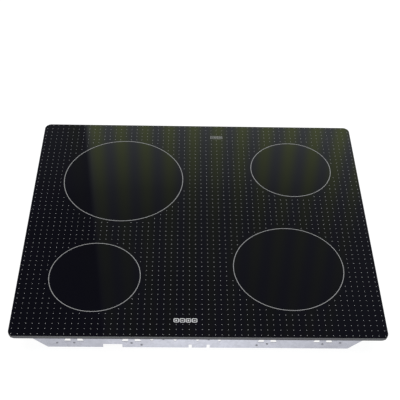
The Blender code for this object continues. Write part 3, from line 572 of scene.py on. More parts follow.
def frames_along(route):
    """Each point of a route with its sideways and upward directions, carried along without twist."""
    points = [Vector(point) for point in route]
    side = None
    for before, point, after in zip([points[0], *points], points, [*points[1:], points[-1]]):
        ahead = (after - before).normalized()
        if side is None:
            upright = Vector((0, 0, 1)) if abs(ahead.z) < 0.9 else Vector((0, 1, 0))
            side = ahead.cross(upright)
        side = (side - ahead * side.dot(ahead)).normalized()
        yield point, side, side.cross(ahead)


def running_length(points, start=0.0):
    """The distance covered at each point of a route."""
    lengths = [start]
    for before, point in zip(points, points[1:]):
        lengths.append(lengths[-1] + math.dist(before, point))
    return lengths


def sweep(bm, route, section):
    """A section, as (sideways, upwards) points, carried along a route, with closed ends.

    Its UVs count millimetres along the route and round the section.
    """
    layer = bm.loops.layers.uv.get("wire") or bm.loops.layers.uv.new("wire")
    rows = []
    for point, side, up in frames_along(route):
        rows.append([bm.verts.new(point + side * u + up * v) for u, v in section])
    lengths = running_length(route)
    girth = running_length([*section, section[0]])
    for row, (low, high) in enumerate(zip(rows, rows[1:])):
        for index, corners in enumerate(sides_of(low, high)):
            face = bm.faces.new(corners)
            marks = ((row, index), (row, index + 1), (row + 1, index + 1), (row + 1, index))
            for loop, (step, edge) in zip(face.loops, marks):
                loop[layer].uv = (lengths[step], girth[edge])
    bm.faces.new(rows[0][::-1])
    bm.faces.new(rows[-1])


def smooth_route(points, steps=6):
    """Points read from the smooth curve that passes through the given ones."""
    places = [Vector(point) for point in points]
    places = [places[0] * 2 - places[1], *places, places[-1] * 2 - places[-2]]
    route = []
    for before, start, end, after in zip(places, places[1:], places[2:], places[3:]):
        for step in range(steps):
            t = step / steps
            bend = (before * 2 - start * 5 + end * 4 - after) * t
            twist = (start * 3 - before - end * 3 + after) * t * t
            route.append(start + (end - before + bend + twist) * t / 2)
    return route + [places[-2]]


def helix(centre, radius, z_range, turns, points_per_turn=24):
    low, high = z_range
    count = turns * points_per_turn
    return [
        (*polar(centre, radius, math.tau * step / points_per_turn), low + (high - low) * step / count)
        for step in range(int(count) + 1)
    ]


def add_piece(name, bm, material, replaced=(), sharp=35, body="housing"):
    """The mesh as a shown piece that rides on a body and stands for the CAD nodes it replaces."""
    bmesh.ops.recalc_face_normals(bm, faces=bm.faces)
    bm.transform(Matrix.Scale(MM, 4))
    mesh = bpy.data.meshes.new(name)
    bm.to_mesh(mesh)
    bm.free()
    mesh.shade_smooth()
    mesh.set_sharp_from_angle(angle=math.radians(sharp))
    for look in material if isinstance(material, list) else [material]:
        mesh.materials.append(look)
    obj = linked(name, mesh)
    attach(obj, body)
    if replaced:
        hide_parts(*replaced)
    return obj


def finish_node(obj, material):
    """Gives a CAD node that keeps its shape a better material."""
    for slot in obj.material_slots:
        slot.material = material
    if not obj.material_slots:
        obj.data.materials.append(material)


# --- The glass and its print ---

CORNER_RADIUS = 12
BEVEL_RUN = 1.7
BEVEL_DROP = 2.4
EDGE_CHAMFER = 0.4
PRINT_SPAN = about(GLASS_HIGH.z, 0.03)
RING_HALF_WIDTH = 0.525
RING_MARGIN = 5
DOT_PITCH = 10
DOT_RADIUS = 0.56
DOT_COLUMNS = 29
DOT_ROWS = 25
DOT_SHIFT_Y = 1.25
FRONT_MARK = (-21, -221)
FRONT_MARK_REACH = (21, 6)
REAR_MARK = (35, 221)


def make_glass(glass, edge):
    """Plate with a ground bevel along the front that runs out where it meets the front corners."""
    (x0, y0, low), (x1, y1, high) = GLASS_LOW, GLASS_HIGH
    inset = EDGE_CHAMFER
    outline = rounded_rectangle((x0, x1), (y0, y1), CORNER_RADIUS, 14)
    smaller = rounded_rectangle((x0 + inset, x1 - inset), (y0 + inset, y1 - inset), CORNER_RADIUS - inset, 14)
    slope = BEVEL_DROP / BEVEL_RUN
    rim = [(x, y, min(high - inset, high - BEVEL_DROP + (y - y0) * slope)) for x, y in outline]
    top = [(x, max(y, y0 + BEVEL_RUN), high) for x, y in smaller]
    bm = bmesh.new()
    skin(bm, [at_height(smaller, low), at_height(outline, low + inset), rim, top])
    bm.normal_update()
    for face in bm.faces:
        middle = face.calc_center_median()
        front = middle.y < y0 + BEVEL_RUN
        face.material_index = int(front and low + 1 < middle.z < high - 0.05 and abs(face.normal.z) > 0.2)
    add_piece("glass_plate", bm, [glass, edge], ["glass_top"], 20)


def make_zone_rings(ink):
    for zone, (x, y, radius) in RINGS.items():
        bm = bmesh.new()
        annulus(bm, (x, y), *about(radius, RING_HALF_WIDTH), PRINT_SPAN, 160)
        add_piece(f"zone_ring_{zone}", bm, ink)


def make_dots(ink):
    """The lattice of dots, left out inside the rings and under the front mark."""
    bm = bmesh.new()
    for column in range(-DOT_COLUMNS, DOT_COLUMNS):
        for row in range(-DOT_ROWS, DOT_ROWS + 1):
            x, y = (column + 0.5) * DOT_PITCH, DOT_SHIFT_Y + row * DOT_PITCH
            in_ring = any(math.hypot(x - cx, y - cy) < r + RING_MARGIN for cx, cy, r in RINGS.values())
            off_mark = abs(x - FRONT_MARK[0]), abs(y - FRONT_MARK[1])
            if not in_ring and not (off_mark[0] < FRONT_MARK_REACH[0] and off_mark[1] < FRONT_MARK_REACH[1]):
                prism(bm, circle(DOT_RADIUS, 8, (x, y), 22.5), PRINT_SPAN)
    add_piece("dot_grid", bm, ink)


def outlined_box(bm, middle, half, stroke):
    """A printed outline of a rounded box."""
    levels = []
    for inset, radius, span in ((0, 1.6, PRINT_SPAN), (stroke, 0.6, PRINT_SPAN[::-1])):
        sides = [about(place, reach - inset) for place, reach in zip(middle, half)]
        levels += [(rounded_rectangle(*sides, stroke * radius, 5), z) for z in span]
    stack(bm, levels, ring=True)


def make_front_mark(ink):
    """A plain row of four boxes: two with a disc in them and two with a bar."""
    x, y = FRONT_MARK
    bm = bmesh.new()
    for index in range(4):
        centre = (x + (index - 1.5) * 9.4, y)
        outlined_box(bm, centre, (4.1, 3.9), 1.1)
        if index % 2:
            prism(bm, rounded_rectangle(about(centre[0], 1.7), about(y, 0.6), 0.3), PRINT_SPAN)
        else:
            prism(bm, circle(1.4, 16, centre), PRINT_SPAN)
    add_piece("front_mark", bm, ink)


def make_rear_mark(ink):
    """A small box with four rings in a row."""
    x, y = REAR_MARK
    bm = bmesh.new()
    outlined_box(bm, REAR_MARK, (11, 4), 0.7)
    for index in range(4):
        annulus(bm, (x - 7.2 + 4.8 * index, y), 1.0, 1.7, PRINT_SPAN, 20)
    add_piece("rear_mark", bm, ink)


# --- Fasteners ---


def cross_outline(reach, half_width):
    """A plus sign of 32 points, so that it can be joined to a round rim."""
    arm = ((reach, 0), (reach, half_width), (half_width, half_width), (half_width, reach))
    corners = [point for index in range(4) for point in turned(arm, index, 4)]
    outline = []
    for corner, following in zip(corners, corners[1:] + corners[:1]):
        outline += [corner, (corner + following) / 2]
    return outline


def around(centre, points, radius):
    """Points of a circle in the directions of the given ones."""
    return [polar(centre, radius, math.atan2(point.y, point.x)) for point in points]


def screw_head(bm, centre, radius, base, height, axis="z"):
    """A pan head with a cross recess. It grows from base, and down the axis if height is negative."""
    recess = cross_outline(radius * 0.62, radius * 0.16)
    levels = []
    for width, share in ((1, 0), (1, 0.45), (0.93, 0.78), (0.76, 1)):
        levels.append((around(centre, recess, radius * width), base + height * share))
    for shrink, share in ((1, 1), (0.7, 0.25)):
        levels.append(([Vector(centre) + point * shrink for point in recess], base + height * share))
    stack(bm, levels, axis)


def thread(bm, centre, radius, span, axis="z", pitch=0.9):
    """A screw's shank with a ridge for each turn of its thread."""
    start, end = span
    step = math.copysign(pitch, end - start)
    steps, place = [(radius * 0.8, start)], start
    while abs(end - place) > 2 * pitch:
        steps += [(radius, place + step * 0.5), (radius * 0.8, place + step)]
        place += step
    stepped_rod(bm, centre, [*steps, (radius * 0.45, end)], axis, 14)


# --- The casing ---

CASE_SCREW_Z = 32
CASE_SCREW_LENGTH = 8
SIDE_SCREW_Y = (-150, 0, 150)
REAR_SCREW_X = (-170, -60, 170)
# Places along X and heights of the small holes in the front wall.
RIVETS = (
    (-220, 10), (-193.5, 10.5), (-104.5, 10.5), (-89, 6), (-55, 20.5),
    (15.6, 20.5), (91, 7), (107, 10.5), (194, 10.5), (221.5, 14),
)


def make_case_screws():
    """Self-tapping screws through the skirt into the tray's lips."""
    bm = bmesh.new()
    screws = [(y, SKIRT_HIGH.x * sign, sign, "x") for sign in SIDES.values() for y in SIDE_SCREW_Y]
    screws += [(x, SKIRT_HIGH.y, 1, "y") for x in REAR_SCREW_X]
    for place, wall, sign, axis in screws:
        screw_head(bm, (place, CASE_SCREW_Z), 3.3, wall, 1.9 * sign, axis)
        thread(bm, (place, CASE_SCREW_Z), 1.45, (wall, wall - CASE_SCREW_LENGTH * sign), axis)
    add_piece("case_screws", bm, ZINC)


def make_skirt_rivets():
    """Blind rivets with low heads in the small holes of the front wall."""
    profile = ((1.2, -1.6), (1.2, 0.02), (1.9, 0.02), (1.9, 0.25), (1.3, 0.55), (0.5, 0.65))
    bm = bmesh.new()
    for place in RIVETS:
        stepped_rod(bm, place, [(radius, SKIRT_LOW.y - out) for radius, out in profile], "y", 20)
    add_piece("skirt_rivets", bm, OXIDISED_STEEL)


def make_foam_tape(foam):
    """Four strips of foam tape with butt joints and slightly bulged sides."""
    low, high = node_box("worktop_seal")
    width, gap, bulge = 5.0, 0.15, 0.25
    middle = (low.z + high.z) / 2
    bm = bmesh.new()
    for sign in SIDES.values():
        short = (low.y + width + gap, high.y - width - gap)
        for axis, span, reach in (("x", (low.x, high.x), high.y), ("y", short, high.x)):
            inner, outer = sorted((sign * reach, sign * (reach - width)))
            section = [(inner, low.z), (outer, low.z), (outer + bulge, middle), (outer, high.z)]
            prism(bm, [*section, (inner, high.z), (inner - bulge, middle)], span, axis)
    add_piece("foam_tape", bm, foam, ["worktop_seal"])


# --- Coils, one stack for each zone ---

COIL_INSIDE_RING = 5.5
WINDING_INNER = 26
LITZ_HALF_WIDTH = 1.25
LITZ_PITCH = 2.75
FERRITE_BARS = 8
CARRIER_POSTS = 4
MICA_NOTCHES = 4
SPRING_RADIUS = 5.0
SPRING_WIRE = 0.7
SPRING_TURNS = 5
LEAD_FROM_CENTRE = 18
LEAD_SHIFT_Y = {"rear_left": 0, "rear_right": -28, "front_left": 0, "front_right": -12}
LEAD_TWIST = 16
CONNECTOR_TOP = 11.0


def zones_on(side):
    return [zone for zone in ZONES if zone.endswith(side)]


def body_of(zone):
    return "deck_" + zone.split("_")[1]


def coil_radius(zone):
    return ZONES[zone][2] - COIL_INSIDE_RING


def lead_start(zone):
    x, y, _ = ZONES[zone]
    return x, y - LEAD_FROM_CENTRE


def add_coil_piece(name, zone, bm, material, node="", sharp=35):
    """A piece that rides on the zone's deck and stands for one of the zone's nodes."""
    add_piece(f"{name}_{zone}", bm, material, [f"{node}_{zone}"] if node else (), sharp, body_of(zone))


def add_floating_piece(name, zone, bm, material, node):
    """A piece between the tray and the deck, given a mesh of its own."""
    obj = add_piece(f"{name}_{zone}", bm, material, [f"{node}_{zone}"], 60)
    f"{body_of(zone)}_float"
    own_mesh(obj)


def make_winding(zone, litz):
    """Litz wire wound in a flat spiral, with a flattened section."""
    low, high = node_box(f"coil_winding_{zone}")
    first, last = WINDING_INNER + LITZ_HALF_WIDTH, coil_radius(zone) - LITZ_HALF_WIDTH
    turns = (last - first) / LITZ_PITCH
    steps = int(turns * 56)
    route = []
    for step in range(steps + 1):
        angle = math.radians(-90) + math.tau * turns * step / steps
        place = polar(ZONES[zone], first + (last - first) * step / steps, angle)
        route.append((*place, (low.z + high.z) / 2))
    section = [(LITZ_HALF_WIDTH * u, (high.z - low.z) / 2 * v) for u, v in circle(1, 10)]
    bm = bmesh.new()
    sweep(bm, route, section)
    add_coil_piece("litz_spiral", zone, bm, litz, "coil_winding", 60)


def make_ferrite(zone):
    """Eight separate bars under the carrier, with the worn edges of a pressed part."""
    x, y, _ = ZONES[zone]
    low, high = node_box(f"ferrite_star_{zone}")
    bm = bmesh.new()
    for index in range(FERRITE_BARS):
        before = len(bm.verts)
        soft_box(bm, (27, coil_radius(zone) - 4), (-6, 6), (low.z, high.z), 1.0)
        turn = Matrix.Rotation(math.tau * (index + 0.5) / FERRITE_BARS, 4, "Z")
        bmesh.ops.transform(bm, matrix=Matrix.Translation((x, y, 0)) @ turn, verts=list(bm.verts)[before:])
    add_coil_piece("ferrite_bars", zone, bm, FERRITE, "ferrite_star")


def make_carrier(zone):
    """Moulded disc with a stepped rim, an inner collar, ribs below and four posts down to the deck."""
    x, y, _ = ZONES[zone]
    radius = coil_radius(zone)
    low, high = node_box(f"coil_carrier_{zone}")
    floor, rim_top, deck = low.z + 2.0, low.z + 4.4, node_box(f"ferrite_star_{zone}")[0].z
    groove = radius * 0.6
    outside = [(12, low.z + 0.4), (12.4, low.z), (radius + 3.4, low.z), (radius + 4, low.z + 0.6)]
    rim = [(radius + out, rim_top - drop) for out, drop in ((4, 0.4), (3.6, 0), (2.3, 0), (2, 0.4))]
    inside = [(radius + 2, floor), (groove, floor), (groove - 0.5, floor - 0.4), (groove - 2.5, floor - 0.4)]
    collar = [(14, floor), (14, high.z - 0.4), (13.6, high.z), (12.3, high.z), (12, high.z - 0.4)]
    bm = bmesh.new()
    lathe(bm, [*outside, *rim, *inside, (groove - 3, floor), *collar], (x, y), 96)
    post = [(2.6, deck), (3.2, deck + 0.8), (3.2, deck + 3), (2.2, low.z - 0.6), (2.2, low.z + 0.5)]
    for index in range(CARRIER_POSTS):
        stepped_rod(bm, polar((x, y), radius * 0.62, math.tau * index / CARRIER_POSTS), post, segments=20)
        sign = 1 if index < 2 else -1
        for reach in (28, radius * 0.68):
            ends = sorted((sign * reach, sign * (reach + radius * 0.3)))
            ranges = [(x + ends[0], x + ends[1]), about(y, 0.8)]
            if index % 2:
                ranges = [about(x, 0.8), (y + ends[0], y + ends[1])]
            soft_box(bm, *ranges, (low.z - 3.2, low.z + 0.3), 0.5)
    add_coil_piece("winding_carrier", zone, bm, GREY_PLASTIC, "coil_carrier")


def make_mica(zone, material):
    """Insulating disc with notches in its edge and a hole over the sensor."""
    x, y, _ = ZONES[zone]
    low, high = node_box(f"mica_sheet_{zone}")
    steps = 144
    outer = []
    for step in range(steps):
        radius = coil_radius(zone) + 1 - (2.5 if step % (steps // MICA_NOTCHES) < 3 else 0)
        outer.append(polar((x, y), radius, math.tau * step / steps))
    inner = circle(8, steps, (x, y))
    bm = bmesh.new()
    stack(bm, ((outer, low.z), (outer, high.z), (inner, high.z), (inner, low.z)), ring=True)
    add_coil_piece("mica_disc", zone, bm, material, "mica_sheet")


def make_sensor(zone):
    """Ceramic holder with a domed nose, a grooved collar and the spring that presses it up."""
    x, y, _ = ZONES[zone]
    low, high = node_box(f"temperature_sensor_{zone}")
    stem = [(0, low.z), (4.5, low.z), (5.2, low.z + 0.6), (5.2, 37.5)]
    collar = [(9.5, 37.5), (10, 37.9), (10, 38.9), (9.5, 39.3), (6, 39.3)]
    groove = [(6, 43.2), (5.5, 43.5), (5.5, 44.1), (6, 44.4)]
    nose = [(6, high.z - 1.2), (5.2, high.z - 0.3), (3.8, high.z), (0, high.z)]
    bm = bmesh.new()
    lathe(bm, stem + collar + groove + nose, (x, y), 40)
    add_coil_piece("sensor_holder", zone, bm, WHITE_PLASTIC, "temperature_sensor")
    bm = bmesh.new()
    sweep(bm, helix((x, y), 7.2, (low.z + 0.4, 37.1), 2.5), circle(0.35, 8))
    add_coil_piece("sensor_spring", zone, bm, SPRING_STEEL, sharp=60)


def make_deck_spring(zone):
    """Compression spring under a deck's corner, with one nearly closed turn at each end."""
    low, high = node_box(f"deck_spring_{zone}")
    centre = node_middle(f"deck_spring_{zone}")
    closed = SPRING_WIRE * 2.1
    bottom, top = low.z + SPRING_WIRE, high.z - SPRING_WIRE
    start = helix(centre, SPRING_RADIUS, (bottom, bottom + closed), 1)
    route = helix(centre, SPRING_RADIUS, (bottom + closed, top - closed), SPRING_TURNS)
    end = helix(centre, SPRING_RADIUS, (top - closed, top), 1)
    bm = bmesh.new()
    sweep(bm, start[:-1] + route + end[1:], circle(SPRING_WIRE, 10))
    add_floating_piece("coil_spring", zone, bm, SPRING_STEEL, "deck_spring")


def make_coil_lead(zone, sleeve):
    """Two braided sleeves twisted round each other. The rear right pair passes over a blower."""
    low, high = node_box(f"coil_lead_{zone}")
    (x, y), shift = lead_start(zone), LEAD_SHIFT_Y[zone]
    bends = [(x, y, 33), (x + 1, y + shift * 0.3, 27), (x - 1, y + shift * 0.8, 18)]
    if zone == "rear_right":
        bends = [(x, y, 34), (x, y - 3, 29), (x, y - 10, 27.8), (x, y - 20, 27.2), (x, y - 26, 23)]
    route = smooth_route([(x, y, high.z), *bends, (x, y + shift, 14), (x, y + shift, low.z)], 8)
    bm = bmesh.new()
    for sign in (1, -1):
        strand = []
        for (point, side, up), length in zip(frames_along(route), running_length(route)):
            u, v = polar((0, 0), 0.88 * sign, math.tau * length / LEAD_TWIST)
            strand.append(point + side * u + up * v)
        sweep(bm, strand, circle(0.86, 10))
    add_floating_piece("lead_pair", zone, bm, sleeve, "coil_lead")


def make_deck_fittings(side):
    """Spring seats riveted under the deck's corners, and a grommet ring round each lead's hole."""
    bm = bmesh.new()
    low, high = node_box(f"coil_deck_{side}")
    seat = [(2.2, high.z - 0.3), (2.2, high.z + 0.7), (1.6, high.z + 1.1)]
    for zone in zones_on(side):
        stepped_rod(bm, node_middle(f"deck_spring_{zone}"), seat, segments=20)
        annulus(bm, lead_start(zone), 7.4, 9.3, (low.z - 0.5, high.z + 0.25), 40)
    add_piece(f"deck_fittings_{side}", bm, ALUMINIUM, body=f"deck_{side}")


# --- Boards ---

BOARD_Z = (6.0, 7.6)
BOARD_TOP = BOARD_Z[1]
BOARD_MARGIN = 6
POWER_BOARD_X = {"left": (-236, -60), "right": (78, 236)}
POWER_BOARD_Y = (-180, 94)
FILTER_BOARD = ((-54, 72), (65, 185))
CONTROL_BOARD = ((-24, 44), (-220, -150))
CONTROL_BOARD_Z = (36.0, 37.6)
# Power boards: columns of components to both sides of the cooktop's middle, and places along them.
HEAT_SINK_X = 150
INNER_COLUMN_X = 96
OUTER_COLUMN_X = 205
TRANSISTOR_Y = (-80, -20, 40)
FILM_CAPACITOR_Y = (-60, -20, 20)
GATE_DRIVER_Y = (-140, 62)
# Filter board, with the front edge of the tongue under the terminal block.
FILTER_CAPACITOR_Y = (100, 145)
FILTER_CHOKES = {"front": (4, 108), "rear": (4, 150)}
RELAY_Y = (95, 130)
VARISTOR_X = (36, 50)
TONGUE_Y = 155
CHOKE_TURNS = 22
LIGHTS = 4
RIBBON_X = (-5, 15)
RIBBON_WIRES = 14
RIBBON_ROUTE = (
    (-160, 35.2), (-150, 33), (-132, 20), (-118, 9), (-100, 3.2),
    (-40, 3), (40, 3), (58, 4.4), (64.4, 6.6),
)


def part(name, bm, material, replaced=(), sharp=35):
    return add_piece(name, bm, material, replaced, sharp)


def board(name, node, outline, z_range=BOARD_Z):
    bm = bmesh.new()
    prism(bm, outline, z_range)
    part(name, bm, SOLDER_MASK, [node])


def make_board_screws(name, places, top=BOARD_TOP):
    """Pan-head screws on washers."""
    bm = bmesh.new()
    for place in places:
        annulus(bm, place, 1.2, 4.0, (top - 0.02, top + 0.4), 28)
        screw_head(bm, place, 3.0, top + 0.35, 1.6)
    part(name, bm, ZINC)


def board_corners(*ranges):
    """Places for a board's screws, a margin in from its corners."""
    x_places, y_places = ((low + BOARD_MARGIN, high - BOARD_MARGIN) for low, high in ranges)
    return [(x, y) for x in x_places for y in y_places]


def toroid(name, centre):
    """Choke: a lacquered ring core under a layer of wire turns, standing on a plastic foot."""
    core, foot, wire = bmesh.new(), bmesh.new(), bmesh.new()
    bottom = BOARD_TOP + 2.4
    profile = [(8.6, bottom), (14.4, bottom), (14.4, 20.4), (13.6, 20.9), (9.4, 20.9), (8.6, 20.4)]
    lathe(core, profile, centre, 48)
    part(f"{name}_core", core, FERRITE)
    annulus(foot, centre, 5.5, 15.4, (BOARD_TOP, BOARD_TOP + 0.9), 48)
    part(f"{name}_foot", foot, BLACK_PLASTIC)
    for index in range(CHOKE_TURNS):
        turn = math.tau * (index + 0.5) / CHOKE_TURNS
        outline = ((7.9, BOARD_TOP + 1.6), (15.2, BOARD_TOP + 1.6), (15.2, 21.3), (7.9, 21.3))
        corners = [Vector((*polar(centre, reach, turn), z)) for reach, z in outline]
        route = []
        for corner, following in zip(corners, corners[1:] + corners[:1]):
            route += [corner.lerp(following, 0.1), corner.lerp(following, 0.9)]
        sweep(wire, [*route, route[0]], circle(0.62, 6))
    part(f"{name}_winding", wire, COPPER, sharp=60)


def film_capacitor(bm, centre, size, top):
    """Box capacitor with a stepped foot at each end."""
    (x, y), (half_x, half_y) = centre, (size[0] / 2, size[1] / 2)
    soft_box(bm, about(x, half_x), about(y, half_y), (BOARD_TOP + 0.8, top), 1.2)
    for end in (-1, 1):
        foot = about(y + end * (half_y - 2.5), 1.6)
        soft_box(bm, about(x, half_x - 0.6), foot, (BOARD_TOP, BOARD_TOP + 1.4), 0.5)


def electrolytic(name, centre, radius, top):
    """Can in a sleeve, with a rolled groove at the foot and a scored vent on top."""
    sleeve, can = bmesh.new(), bmesh.new()
    groove = BOARD_TOP + (top - BOARD_TOP) * 0.12
    foot = [(0, BOARD_TOP), (0.9, BOARD_TOP), (1, BOARD_TOP + 0.7), (1, groove - 0.7), (0.93, groove)]
    head = [(0.93, top - 0.1), (0.85, top - 0.1), (0.82, top - 0.6), (0, top - 0.6)]
    profile = [*foot, (1, groove + 0.7), (1, top - 0.9), *head]
    lathe(sleeve, [(radius * share, z) for share, z in profile], centre, 48)
    part(f"{name}_sleeve", sleeve, DARK_LACQUER)
    vent = cross_outline(radius * 0.6, radius * 0.06)
    rim, cut = around(centre, vent, radius * 0.8), [Vector(centre) + point for point in vent]
    stack(can, ((rim, top - 0.7), (rim, top - 0.3), (cut, top - 0.3), (cut, top - 0.5)))
    part(f"{name}_can", can, TIN)


def transistors(name, places):
    """Flat power packages under the heat sink, each on three bent legs."""
    bodies, metal = bmesh.new(), bmesh.new()
    for x, y in places:
        soft_box(bodies, about(x, 8), (y - 10, y + 8), (BOARD_TOP + 0.6, BOARD_TOP + 4.2), 0.7)
        soft_box(metal, about(x, 7), (y - 8.5, y + 9.5), (BOARD_TOP + 3.9, BOARD_TOP + 4.5), 0.3)
        for leg in (-5.4, 0, 5.4):
            bends = ((9.5, 2.2), (12, 2.2), (12.8, 1.4), (12.8, -1.5))
            sweep(metal, [(x + leg, y - out, BOARD_TOP + up) for out, up in bends], rectangle(0.6, 0.25))
    part(f"{name}_bodies", bodies, BLACK_PLASTIC)
    part(f"{name}_metal", metal, TIN)


def resistors(name, places, top=BOARD_TOP):
    """Axial resistors lying along Y, with two wire ends bent into the board."""
    bodies, wires = bmesh.new(), bmesh.new()
    half = [(0.95, 1.7), (1.2, 2), (1.2, 3), (0.5, 3.4)]
    profile = [(radius, -out) for radius, out in half[::-1]] + half
    for x, y in places:
        stepped_rod(bodies, (x, top + 1.3), [(radius, y + out) for radius, out in profile], "y", 16)
        for end in (-1, 1):
            bends = ((3.2, 1.3), (5, 1.3), (5.4, 0.8), (5.4, -1.2))
            sweep(wires, [(x, y + end * out, top + up) for out, up in bends], circle(0.3, 6))
    part(f"{name}_bodies", bodies, TAN_LACQUER)
    part(f"{name}_wires", wires, TIN)


def chips(name, places, top=BOARD_TOP, half=(5, 3.2), pins=8):
    """Small integrated circuits with gull-wing legs along both long sides."""
    bodies, legs = bmesh.new(), bmesh.new()
    half_x, half_y = half
    for x, y in places:
        soft_box(bodies, about(x, half_x), about(y, half_y), (top + 0.2, top + 1.9), 0.3)
        for index in range(pins):
            leg_x = x - half_x + (index + 0.5) * 2 * half_x / pins
            for end in (-1, 1):
                bends = ((-0.2, 1), (0.5, 1), (0.9, 0.15), (1.5, 0.15))
                route = [(leg_x, y + end * (half_y + out), top + up) for out, up in bends]
                sweep(legs, route, rectangle(0.22, 0.1))
    part(f"{name}_bodies", bodies, BLACK_PLASTIC)
    part(f"{name}_legs", legs, TIN)


def make_power_board(side, sign):
    """The board that drives the two coils of one side, with its components."""
    area = (POWER_BOARD_X[side], POWER_BOARD_Y)
    board(f"power_circuit_{side}", f"power_board_{side}", rounded_rectangle(*area, 2))
    make_board_screws(f"power_board_screws_{side}", board_corners(*area))
    inner, outer = sign * INNER_COLUMN_X, sign * OUTER_COLUMN_X
    transistors(f"power_transistors_{side}", [(sign * HEAT_SINK_X, y) for y in TRANSISTOR_Y])
    capacitors, housings, contacts = bmesh.new(), bmesh.new(), bmesh.new()
    for y in FILM_CAPACITOR_Y:
        film_capacitor(capacitors, (outer, y), (20, 32), 26)
    part(f"film_capacitors_{side}", capacitors, GREY_LACQUER)
    toroid(f"power_choke_{side}", (inner, -40))
    electrolytic(f"bus_capacitor_{side}", (inner, 20), 11, 26)
    for zone in zones_on(side):
        x, y = lead_start(zone)
        y += LEAD_SHIFT_Y[zone]
        soft_box(housings, about(x, 10), about(y, 4), (BOARD_TOP, CONNECTOR_TOP), 0.7)
        for contact in about(x, 5.5):
            screw_head(contacts, (contact, y), 2.4, CONNECTOR_TOP - 0.1, 0.5)
    part(f"lead_connectors_{side}", housings, WHITE_PLASTIC)
    part(f"lead_contacts_{side}", contacts, BRASS)
    row = [(sign * 215 - 14 + 7 * index, -110) for index in range(5)]
    row += [(inner - 9 + 6 * index, 66) for index in range(4)]
    resistors(f"power_resistors_{side}", row)
    chips(f"gate_drivers_{side}", [(outer, y) for y in GATE_DRIVER_Y])


def make_filter_board():
    """The board with a tongue under the terminal block."""
    (x0, x1), (y0, y1) = FILTER_BOARD
    low, high = node_box("terminal_block")
    tongue = [(high.x, TONGUE_Y), (high.x, high.y), (low.x, high.y), (low.x, y1)]
    board("filter_circuit", "filter_board", [(x0, y0), (x1, y0), (x1, TONGUE_Y), *tongue, (x0, y1)])
    make_board_screws("filter_board_screws", board_corners(*FILTER_BOARD))
    capacitors, relays, varistors = bmesh.new(), bmesh.new(), bmesh.new()
    for y in FILTER_CAPACITOR_Y:
        film_capacitor(capacitors, (x0 + 18, y), (14, 32), 24)
    part("filter_capacitors", capacitors, YELLOW_LACQUER)
    for end, centre in FILTER_CHOKES.items():
        toroid(f"filter_choke_{end}", centre)
    for y in RELAY_Y:
        soft_box(relays, about(x1 - 20, 8), about(y, 14), (BOARD_TOP + 0.4, 23), 0.9)
        soft_box(relays, about(x1 - 20, 7), about(y, 13), (BOARD_TOP, BOARD_TOP + 0.9), 0.5)
    part("inrush_relays", relays, BLACK_PLASTIC)
    resistors("filter_resistors", [(x0 + 40 + 7 * index, 76) for index in range(4)])
    for x in VARISTOR_X:
        disc = [(5.2, 155.4), (6, 156), (6, 158.4), (5.2, 159)]
        stepped_rod(varistors, (x, BOARD_TOP + 7.2), disc, "y", 32)
    part("varistors", varistors, BLUE_LACQUER)


def make_control_board():
    """The board under the front of the glass, with its four lights."""
    (x0, x1), (y0, _) = CONTROL_BOARD
    top = CONTROL_BOARD_Z[1]
    board("control_circuit", "control_board", rounded_rectangle(*CONTROL_BOARD, 2), CONTROL_BOARD_Z)
    make_board_screws("control_board_screws", board_corners(*CONTROL_BOARD)[1::2], top)
    lenses, holders = bmesh.new(), bmesh.new()
    for index in range(LIGHTS):
        centre = (x0 + 10 + 16 * index, y0 + 7)
        lathe(lenses, [(0, 42), (2.5, 42), (2.5, 44.6), (2.1, 45.5), (1.2, 45.95), (0, 46)], centre, 28)
        profile = [(0, top), (3.2, top), (3.2, 42.3), (2.9, 42.6), (2.5, 42.6), (2.5, 42), (0, 42)]
        lathe(holders, profile, centre, 28)
    part("indicator_lights", lenses, LED_LENS)
    part("indicator_holders", holders, BLACK_PLASTIC)
    middle = (x0 + x1) / 2
    chips("controller", [(middle, -180)], top, (12, 9), 16)
    chips("interface_chips", [(middle + 24, -182)], top, (3, 4), 4)
    resistors("control_resistors", [(x0 + 6 + 3.4 * index, -182) for index in range(3)], top)


def make_heat_sink(side, sign):
    """Extruded comb whose fins have rounded tips and fine grooves on both faces."""
    node_low, node_high = node_box(f"heat_sink_{side}")
    low, high = node_low.z, node_high.z
    half_width, fins, fin, base = 25, 9, 1.5, low + 3
    left, right = about(sign * HEAT_SINK_X, half_width)
    grooves = [base + 0.6 + step * 1.15 for step in range(9)]
    comb = [(left, low), (right, low)]
    for index in reversed(range(fins)):
        x = left + index * (2 * half_width - fin) / (fins - 1)
        comb.append((x + fin, base))
        for z in grooves:
            comb += [(x + fin, z), (x + fin - 0.2, z + 0.5)]
        comb += [(x + fin - 0.05, high - 0.4), (x + fin - 0.45, high)]
        comb += [(x + 0.45, high), (x + 0.05, high - 0.4)]
        for z in reversed(grooves):
            comb += [(x + 0.2, z + 0.5), (x, z)]
        comb.append((x, base))
    bm = bmesh.new()
    prism(bm, comb, (node_low.y, node_high.y), "y")
    add_piece(f"cooling_fins_{side}", bm, ALUMINIUM, [f"heat_sink_{side}"], 25)


